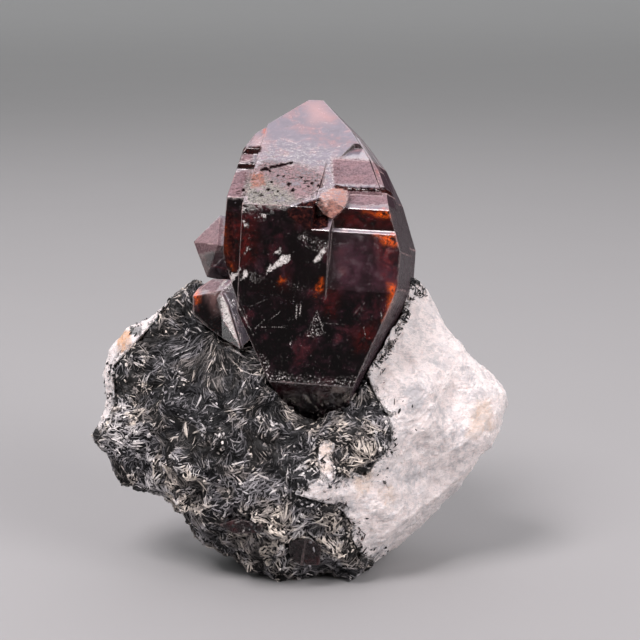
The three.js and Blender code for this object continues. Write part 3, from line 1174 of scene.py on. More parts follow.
@dataclass
class Zircon:
    """The stepped main crystal with the small crystals grown on it."""

    node: str = "zircon_crystal"
    facets: Facets = Facets()
    etch_depth: float = 0.16
    etch_size: float = 1.1
    etch_sunk: float = 0.05
    frost_and_sheen_upward: tuple[float, float] = (0.3, 0.5)  # how far up a face looks where the frost and painted sheen start and are full
    sideways: tuple[float, float] = (0.7, 0.9)  # the same to either side
    rearward: tuple[float, float] = (0.0, 0.4)  # the same to the back
    marks: dict[str, Mark] = field(default_factory=dict)

    def build(self, finish: ZirconFinish) -> None:
        """Makes the crystal.

        Args:
            finish: what it looks like.
        """
        cut_fine = Mark(areas=self.marks["etch"].areas, lines=self.marks["crack"].lines)
        body = self.facets.body(self.node, "zircon", cut_fine)
        points = FACE.to_face(body.points)
        normals = body.normals @ FACE.rotation()
        etched = ramp(self.marks["etch"].distance(points, normals), 0.3, -0.8)
        relief = self.etch_depth * Noise(Seed.ETCHING).fractal(points, self.etch_size)
        body.raise_by(etched * (relief - self.etch_sunk))
        for name, mark in self.marks.items():
            body.paint(name, mark.distance(points, normals))
        # upward faces are painted with frost and sheen, partly standing in for the overhead light they
        # reflect
        body.paint("frost_and_sheen", ramp(normals[:, 2], *self.frost_and_sheen_upward))
        body.paint("side", ramp(np.abs(normals[:, 0]), *self.sideways))
        # back faces are marked for a painted red glow and a rougher gloss
        body.paint("back", ramp(normals[:, 1], *self.rearward))
        body.finish(finish.material(), "zircon", False, self.node)


@dataclass
class LowZircon:
    """One of the small zircons low in the matrix."""

    node: str
    facets: Facets = Facets(bevel=0.12, longest=0.35)
    lump_height: float = 0.08
    lump_size: float = 0.9

    def build(self, material: bpy.types.Material) -> Body:
        """Makes the crystal.

        Args:
            material: its material.

        Returns:
            The crystal.
        """
        body = self.facets.body(self.node, self.node + "_look")
        lumps = Noise(Seed.LOW_ZIRCONS).fractal(body.points / MM, self.lump_size)
        body.raise_by(self.lump_height * lumps)
        for name, mark in NO_MARKS.items():
            body.paint(name, mark.distance(body.points, body.normals))
        body.finish(material, "zircon_brown", False, self.node)
        return body


@dataclass(frozen=True)
class BladeShape:
    """How long, wide and high the mica blades are, in millimetres, and how the stubby ones differ."""

    length: tuple[float, float] = (0.8, 2.6)
    width: tuple[float, float] = (0.14, 0.34)
    height: tuple[float, float] = (-0.14, 0.14)
    flatness: float = 0.45
    stub_width: float = 1.8
    stub_tilt: float = 2.6
    stiffness: float = 0.5
    lift: float = 0.15
    pale_from: float = 0.77
    pale_width: float = 1.25
    roll: float = 1.1
    tilt: tuple[float, float] = (-0.08, 0.14)


class BladeField:
    """Many blades lying on a surface, joined in one mesh."""

    stations = (-0.5, -0.22, 0.24, 0.5)
    sides = 3

    def __init__(self, surface: Body, shape: BladeShape, seed: Seed) -> None:
        """Keeps what the blades lie on.

        Args:
            surface: the piece that they lie on.
            shape: how large the blades are.
            seed: the seed of everything random about them.
        """
        self.shape = shape
        self.random = np.random.default_rng(seed)
        self.corners = FACE.to_face(surface.points)
        self.triangles = surface.triangles()
        self.tree = BVHTree.FromPolygons(self.corners.tolist(), self.triangles.tolist())
        ends = self.corners[self.triangles]
        cross = np.cross(ends[:, 1] - ends[:, 0], ends[:, 2] - ends[:, 0])
        self.area = np.linalg.norm(cross, axis=1)
        self.facing = cross / self.area[:, None]

    def sprinkle(self, count: int, weight: Array | None = None) -> tuple[Array, Array]:
        """Picks random places on the surface.

        Args:
            count: how many places.
            weight: how likely each triangle is, for its area.

        Returns:
            The places in face-frame millimetres and the directions that they face.
        """
        share = self.area if weight is None else self.area * weight
        pick = self.random.choice(len(self.area), count, p=share / share.sum())
        a, b = self.random.random((2, count, 1))
        a, b = np.where(a + b > 1, 1 - a, a), np.where(a + b > 1, 1 - b, b)
        ends = self.corners[self.triangles[pick]]
        return ends[:, 0] + a * (ends[:, 1] - ends[:, 0]) + b * (ends[:, 2] - ends[:, 0]), self.facing[pick]

    def settle(self, points: Array) -> tuple[Array, Array]:
        """Moves points to the surface.

        Args:
            points: one point a row, in face-frame millimetres.

        Returns:
            The nearest points of the surface and the directions that it faces there.
        """
        found = [self.tree.find_nearest(point) for point in points]
        return np.array([hit[0] for hit in found]), np.array([hit[1] for hit in found])

    def grow(self, name: str, places: Array, up: Array, along: Array, tone: Array, reach: Array) -> Body:
        """Makes a blade at each place.

        Args:
            name: the piece's name.
            places: the blades' middles, in face-frame millimetres.
            up: the direction that the surface faces at each place.
            along: the direction that each blade points in.
            tone: each blade's tone.
            reach: how much longer than usual each blade is; those under a half are broad crumbs.

        Returns:
            The piece.
        """
        count = len(places)
        shape, random = self.shape, self.random
        along = along - (along * up).sum(1, keepdims=True) * up
        along /= np.linalg.norm(along, axis=1, keepdims=True) + 1e-9
        reach = reach[:, None]
        stubby = reach < 0.5
        length = random.uniform(*shape.length, (count, 1)) * reach
        width = random.uniform(*shape.width, (count, 1)) * np.where(stubby, shape.stub_width, 1)
        width *= np.where(tone[:, None] > shape.pale_from, shape.pale_width, 1)
        roll = random.uniform(-shape.roll, shape.roll, (count, 1))
        base = random.uniform(*shape.height, (count, 1)) + shape.lift * (tone[:, None] - 0.3)
        tilt = random.uniform(*shape.tilt, (count, 1)) * np.where(stubby, shape.stub_tilt, 1)
        rings = []
        found = [self.settle(places + along * length * share) for share in self.stations]
        for share, (centre, normal) in zip(self.stations, found):
            straight = found[0][0] * (0.5 - share) + found[-1][0] * (0.5 + share)
            gap = ((straight - centre) * normal).sum(1, keepdims=True)
            centre = centre + normal * (base + tilt * share * 2 + shape.stiffness * np.maximum(gap, 0))
            if abs(share) == 0.5:
                rings.append(centre[:, None])
                continue
            side = np.cross(normal, along)
            wide = side * np.cos(roll) + normal * np.sin(roll)
            thick = (normal * np.cos(roll) - side * np.sin(roll)) * shape.flatness
            rings.append(np.stack([centre + 0.5 * width * step for step in (wide, thick, -wide)], axis=1))
        points = np.concatenate(rings, axis=1)
        template = []
        for k in range(self.sides):
            a, b = 1 + k, 1 + (k + 1) % self.sides
            c, d = b + self.sides, a + self.sides
            template += [(0, b, a), (a, b, c), (a, c, d), (1 + 2 * self.sides, d, c)]
        faces = np.arange(count)[:, None, None] * points.shape[1] + np.array(template)
        body = Body.from_arrays(name, FACE.to_stand(points.reshape(-1, 3)), faces.reshape(-1, 3))
        body.paint("tone", np.repeat(tone, len(template)), Domain.FACE)
        return body


@dataclass(frozen=True)
class Spray:
    """Where mica blades spread from one point, in millimetres on the front."""

    x: float
    z: float
    reach: float
    hold: float = 1.0


def near_share(body: Body, places: Array, reach: float) -> Array:
    """How near each place is to a piece: 1 on it and falling to 0 with distance.

    Args:
        body: the piece.
        places: one place a row, in face-frame millimetres.
        reach: how fast it falls, in millimetres.

    Returns:
        One number for each place.
    """
    points = FACE.to_face(body.points)
    tree = KDTree(len(points))
    for number, point in enumerate(points):
        tree.insert(point, number)
    tree.balance()
    away = np.array([tree.find(place)[2] for place in places])
    return np.exp(-away / reach)


@dataclass
class Mica:
    """The black mica: a dark body covered in blades. Sizes are in millimetres, turns in radians."""

    node: str = "mica_matrix"
    voxel: float = 0.6
    sunk: float = 0.35
    relief: float = 1.5
    blades: int = 41000
    pieces: int = 3
    bundle: float = 2.2
    closing: float = 0.9
    closing_reach: float = 0.7
    lump_size: float = 4.0
    ridge_size: float = 6.0
    block_size: float = 3.2
    block_height: float = 0.6
    grain_size: float = 1.3
    grain_height: float = 0.3
    break_slope: float = 1.5
    body_tone: tuple[float, float] = (0.05, 0.2)  # the darkest, and how much lighter it gets
    swirl_size: float = 9.0
    swirl_turn: float = math.pi * 1.3
    bundle_turn: float = 2.0
    stray: float = 0.2  # how far a blade turns from its bundle
    spray_stray: float = 0.14
    stubby_size: float = 5.0
    stubby_share: float = 0.45
    stubby_reach: tuple[float, float] = (0.2, 0.48)
    patch_size: float = 3.0
    crumb_reach: float = 0.8
    sprays: tuple[Spray, ...] = ()
    pale: Mark = Mark()
    felted: Mark = Mark()
    silver: Mark = Mark()

    def build(self, finish: MicaFinish, feldspar: Body) -> Body:
        """Makes the body and its blades.

        Args:
            finish: what they look like.
            feldspar: the feldspar, whose crumbs lie among the blades near it.

        Returns:
            The body.
        """
        material = finish.material()
        body = voxel_body(self.node, "mica_body", self.voxel)
        face_points = FACE.to_face(body.points)
        near = near_share(feldspar, face_points, self.closing_reach)
        body.raise_by(self.swell(face_points) + self.closing * near)
        darkest, lighter = self.body_tone
        mottled = ramp(Noise(Seed.MICA_LUMPS).smooth(face_points, 1.5), -0.3, 0.8)
        body.paint("tone", darkest + lighter * mottled)
        felt = BladeField(body, BladeShape(), Seed.BLADES)
        places, up = felt.sprinkle(self.blades)
        along, radiating, bundle = self.lie(places, felt.random)
        tone, crumb = self.tone(places, up, radiating, bundle, feldspar, felt.random)
        blocky = ramp(Noise(Seed.STUBBY_AREAS).fractal(places, self.stubby_size, 2), -0.35, 0.35)
        blocky = blocky * (1 - radiating)
        stubby = crumb | (felt.random.random(self.blades) < self.stubby_share * blocky)
        short = felt.random.uniform(*self.stubby_reach, self.blades)
        reach = np.where(stubby, short, 0.7 + 0.8 * bundle + 0.6 * radiating)
        for k in range(self.pieces):
            part = slice(k, None, self.pieces)
            name = f"mica_blades_{k + 1}"
            blades = felt.grow(name, places[part], up[part], along[part], tone[part], reach[part])
            blades.finish(material, "mica", False)
        body.finish(material, "mica", True, self.node)
        return body

    def swell(self, points: Array) -> Array:
        """Works out how far the body is raised.

        Args:
            points: one point a row, in face-frame millimetres.

        Returns:
            One height for each point, in millimetres.
        """
        noise = Noise(Seed.MICA_LUMPS)
        ridges = 1 - 2 * np.abs(Noise(Seed.MICA_RIDGES).fractal(points, self.ridge_size))
        bent = points + 0.7 * noise.smooth(points, 2.5)[:, None]
        blocks, _ = noise.facets(bent, self.block_size, self.break_slope)
        grains, _ = Noise(Seed.MICA_GRAINS).facets(points, self.grain_size, self.break_slope)
        lumps = 0.45 * noise.fractal(points, self.lump_size) + 0.35 * ridges - 0.15
        return -self.sunk + self.relief * lumps + self.block_height * blocks + self.grain_height * grains

    def lie(self, places: Array, random: np.random.Generator) -> tuple[Array, Array, Array]:
        """Works out which way each blade lies.

        Args:
            places: the blades' middles, in face-frame millimetres.
            random: where random numbers come from.

        Returns:
            The direction of each blade, how far it belongs to a spray, and a number from 0 to 1 for its
            bundle.
        """
        noise = Noise(Seed.BUNDLES)
        count = len(places)
        cell, _ = noise.nearest_cell(places + 0.6 * noise.smooth(places, 2.0)[:, None], self.bundle)
        own = [noise.lattice(cell, channel) - 0.5 for channel in (11, 12, 13)]
        angle = self.swirl_turn * noise.smooth(places, self.swirl_size) + self.bundle_turn * own[0]
        angle = angle + random.normal(0, self.stray, count)
        along = np.stack([np.cos(angle), 0.9 * own[1] + 0.5 * own[2], np.sin(angle)], axis=1)
        radiating = np.zeros((count, 1))
        for spray in self.sprays:
            away = places - np.array([spray.x, 0, spray.z])
            away[:, 1] = 0
            reach = np.hypot(away[:, 0], away[:, 2])
            share = spray.hold * ramp(reach, spray.reach, spray.reach * 0.5)[:, None]
            radial = away / (reach[:, None] + 1e-6) + random.normal(0, self.spray_stray, (count, 3))
            along = along * (1 - share) + radial * share
            radiating = np.maximum(radiating, share)
        return along, radiating[:, 0], noise.lattice(cell, 14)

    def tone(
        self,
        places: Array,
        up: Array,
        radiating: Array,
        bundle: Array,
        feldspar: Body,
        random: np.random.Generator,
    ) -> tuple[Array, Array]:
        """Works out how light each blade is, with painted shade where the relief is low.

        Args:
            places: the blades' middles, in face-frame millimetres.
            up: the direction that the surface faces at each place.
            radiating: how far each blade belongs to a spray.
            bundle: a number from 0 to 1 for the bundle of each blade.
            feldspar: the feldspar, whose crumbs lie among the blades near it.
            random: where random numbers come from.

        Returns:
            One tone from 0 to 1 for each blade, and whether it is a crumb of feldspar.
        """
        noise = Noise(Seed.BLADE_TONES)
        count = len(places)
        clump = ramp(noise.fractal(places, self.patch_size), -0.5, 0.6)
        tone = 0.03 + 0.15 * bundle + 0.10 * random.random(count)
        ragged = 1.5 * noise.fractal(places, self.patch_size, 2)
        silver = ramp(self.silver.distance(places, up) + ragged, 1.5, -1.0)
        light = random.random(count) < 0.47 + 0.26 * clump + 0.34 * bundle + 0.32 * silver - 0.12 * radiating
        grey = 0.37 + 0.16 * clump + 0.20 * bundle + 0.38 * silver + 0.15 * random.random(count)
        tone = np.where(light, grey, tone)
        # painted shade: blades low in the relief are darker, standing in for shade in the hollows
        tone *= 0.40 + 0.70 * ramp(self.swell(places), -1.0, 0.8)
        tone *= 1 - 0.12 * radiating
        felted = ramp(self.felted.distance(places, up) + noise.fractal(places, 2.0, 2), 1.0, -1.0)
        tone = tone * (1 - 0.8 * felted) + 0.8 * felted * (0.56 + 0.20 * random.random(count))
        glint = random.random(count) < 0.04 + 0.55 * ramp(bundle, 0.76, 0.92) * clump
        tone = np.where(glint, 0.68 + 0.24 * random.random(count), tone)
        patchy = ramp(noise.fractal(places + 11, 1.6, 2), -0.5, 0.4)
        crumbs = ramp(self.pale.distance(places, up), 1.0, -0.4) * 0.8 * patchy
        crumbs = np.maximum(crumbs, 0.7 * near_share(feldspar, places, self.crumb_reach) * patchy)
        crumbs = np.maximum(crumbs, 0.10 * ramp(noise.fractal(places + 31, self.patch_size, 2), 0.45, 0.8))
        crumb = random.random(count) < crumbs
        return np.where(crumb, 0.66 + 0.34 * random.random(count), tone), crumb


@dataclass
class Flakes:
    """Mica flakes that lie on another piece."""

    name: str
    count: int
    reach: float = 0.8
    cluster_size: float = 2.6
    seam_weight: float = 1.6
    least_weight: float = 0.02
    crumb_share: float = 0.4
    crumb_length: float = 0.45
    seam: Mark = Mark()
    shape: BladeShape = BladeShape((0.4, 1.7), (0.14, 0.5), (-0.1, 0.06), flatness=0.3, lift=0.0)

    def build(self, material: bpy.types.Material, ground: Body, mica: Body) -> None:
        """Makes the flakes.

        Args:
            material: their material.
            ground: the piece that they lie on.
            mica: the piece that they are scattered from.
        """
        layer = BladeField(ground, self.shape, Seed.FLAKES)
        middles = layer.corners[layer.triangles].mean(1)
        weight = near_share(mica, middles, self.reach)
        clustered = ramp(Noise(Seed.FLAKE_CLUSTERS).fractal(middles, self.cluster_size), 0.0, 0.3)
        seam = self.seam_weight * ramp(self.seam.distance(middles, layer.facing), 0.5, -0.1)
        weight = np.maximum(weight * clustered, seam * (0.4 + 0.6 * clustered))
        weight[weight < self.least_weight] = 0.0
        places, up = layer.sprinkle(self.count, weight)
        along = layer.random.normal(0, 1, (self.count, 3))
        tone = 0.06 + 0.62 * layer.random.random(self.count) ** 1.7
        crumbs = layer.random.random(self.count) < self.crumb_share
        reach = np.where(crumbs, self.crumb_length, 1.0)
        layer.grow(self.name, places, up, along, tone, reach).finish(material, "mica", False)


@dataclass
class Feldspar:
    """The white granular feldspar. Sizes and heights are in millimetres."""

    node: str = "feldspar_matrix"
    voxel: float = 0.44
    sunk: float = 0.12
    coarse_size: float = 5.5
    coarse_height: float = 0.16
    fine_size: float = 1.1
    fine_height: float = 0.12
    rough_size: float = 2.2
    rough_height: float = 0.17
    grey_size: float = 7.0
    beige_size: float = 9.0
    marks: dict[str, Mark] = field(default_factory=dict)

    def build(self, finish: FeldsparFinish) -> Body:
        """Makes the feldspar.

        Args:
            finish: what it looks like.

        Returns:
            The feldspar.
        """
        body = voxel_body(self.node, "feldspar", self.voxel)
        noise = Noise(Seed.FELDSPAR_COARSE)
        points = FACE.to_face(body.points)
        bent = points + 0.8 * noise.smooth(points, 3.0)[:, None]
        coarse, coarse_tone = noise.facets(bent, self.coarse_size, 1.2)
        bent = points + 0.4 * noise.smooth(points, 2.0)[:, None]
        fine, fine_tone = Noise(Seed.FELDSPAR_FINE).facets(bent, self.fine_size, 1.3)
        rough = self.rough_height * Noise(Seed.FELDSPAR_ROUGH).fractal(points, self.rough_size)
        body.raise_by(-self.sunk + self.coarse_height * coarse + self.fine_height * fine + rough)
        facing = body.normals @ FACE.rotation()
        mask = {name: ramp(mark.distance(points, facing), 1.2, -0.8) for name, mark in self.marks.items()}
        grey = 0.25 + 0.45 * noise.fractal(points, self.grey_size) + 0.25 * (coarse_tone - 0.5)
        drift = Noise(Seed.FELDSPAR_BEIGE).fractal(points, self.beige_size)
        beige = 0.15 + 0.35 * drift + 0.2 * (fine_tone - 0.5)
        body.paint("grey", grey + 0.35 * mask["grey"] - 0.5 * mask["beige"])
        body.paint("cell", fine_tone)
        body.paint("beige", beige + 0.6 * mask["beige"])
        body.paint("stain", mask["stain"])
        body.paint("dark", mask["dark"])
        body.finish(finish.material(), "feldspar", False, self.node)
        return body


# ---- the studio -----------------------------------------------------------------------------------------


@dataclass(frozen=True)
class Softbox:
    """A soft light that points at the specimen, or at a place of its own."""

    name: str
    place: tuple[float, float, float]
    size: tuple[float, float]
    power: float
    tint: Colour = (1.0, 1.0, 1.0)
    aim: tuple[float, float, float] | None = None

    def build(self, specimen: Vector) -> None:
        """Adds the light.

        Args:
            specimen: the place that it points at unless it has one of its own.
        """
        aim = specimen if self.aim is None else Vector(self.aim)
        data = bpy.data.lights.new(self.name, "AREA")
        data.shape = "RECTANGLE"
        data.size, data.size_y = self.size
        data.energy = self.power
        data.color = self.tint
        light = bpy.data.objects.new(self.name, data)
        light.location = self.place
        light.rotation_euler = (aim - Vector(self.place)).to_track_quat("-Z", "Y").to_euler()
        bpy.context.scene.collection.objects.link(light)


@dataclass
class Studio:
    """The floor, the lights and the camera."""

    aim: Vector = field(default_factory=lambda: Vector([c * MM for c in FACE.origin]))
    lens: float = 101.2
    softboxes: tuple[Softbox, ...] = (
        Softbox("overhead", (-0.08, 0.20, 0.60), (0.8, 0.8), 2.1, (1.0, 0.93, 0.97)),
        Softbox("left_key", (-0.28, -0.32, 0.70), (0.3, 0.3), 6.0, (1.0, 0.93, 0.94)),
        Softbox("right_fill", (0.52, -0.46, 0.46), (0.4, 0.4), 4.0, (1.0, 0.93, 0.94)),
        Softbox("sheen_card", (-0.26, -0.66, 0.42), (0.3, 0.2), 0.02, (1.0, 0.5, 0.65)),
        Softbox("far_floor", (0.0, 2.2, 1.6), (4.0, 1.5), 22.0, aim=(0.0, 2.2, 0.0)),
        Softbox("farther_floor", (0.0, 4.4, 1.8), (6.0, 1.5), 60.0, aim=(0.0, 4.4, 0.0)),
        Softbox("left_floor", (-2.2, 0.6, 1.6), (1.5, 4.0), 22.0, aim=(-2.2, 0.6, 0.0)),
        Softbox("right_floor", (2.2, 0.6, 1.6), (1.5, 4.0), 22.0, aim=(2.2, 0.6, 0.0)),
        Softbox("front_floor", (0.0, -2.6, 2.2), (9.0, 0.8), 56.0, aim=(0.0, -2.6, 0.0)),
    )
    floor_half: float = 6.0
    surround: float = 1.0

    def build(self, finish: FloorFinish) -> None:
        """Makes the floor, the lights and the camera.

        Args:
            finish: what the floor looks like.
        """
        self.build_floor(finish)
        for softbox in self.softboxes:
            softbox.build(self.aim)
        world = bpy.data.worlds.new("surround")
        world.use_nodes = True
        world.node_tree.nodes["Background"].inputs["Strength"].default_value = self.surround
        bpy.context.scene.world = world
        bpy.context.scene.view_settings.view_transform = "Standard"
        data = bpy.data.cameras.new("front_camera")
        data.lens = self.lens
        camera = bpy.data.objects.new("front_camera", data)
        ahead = Vector(FACE.rotation() @ np.array([0.0, 1.0, 0.0]))
        camera.location = self.aim - ahead * FACE.eye_distance * MM
        camera.rotation_euler = ahead.to_track_quat("-Z", "Y").to_euler()
        bpy.context.scene.collection.objects.link(camera)
        bpy.context.scene.camera = camera

    def build_floor(self, finish: FloorFinish) -> None:
        """Makes the floor.

        Args:
            finish: what it looks like.
        """
        half = self.floor_half
        points = np.array([(-half, -half, 0), (half, -half, 0), (half, half, 0), (-half, half, 0)])
        floor = Body.from_arrays("floor", points, np.array([(0, 1, 2), (0, 2, 3)]))
        floor.mesh.materials.append(finish.material())
        floor.object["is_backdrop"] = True


def write_sizes() -> None:
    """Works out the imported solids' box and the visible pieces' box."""
    boxes = {"cad": CAD_BOX, "visual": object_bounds()}
    plain = {key: [[float(c) for c in corner] for corner in box] for key, box in boxes.items()}


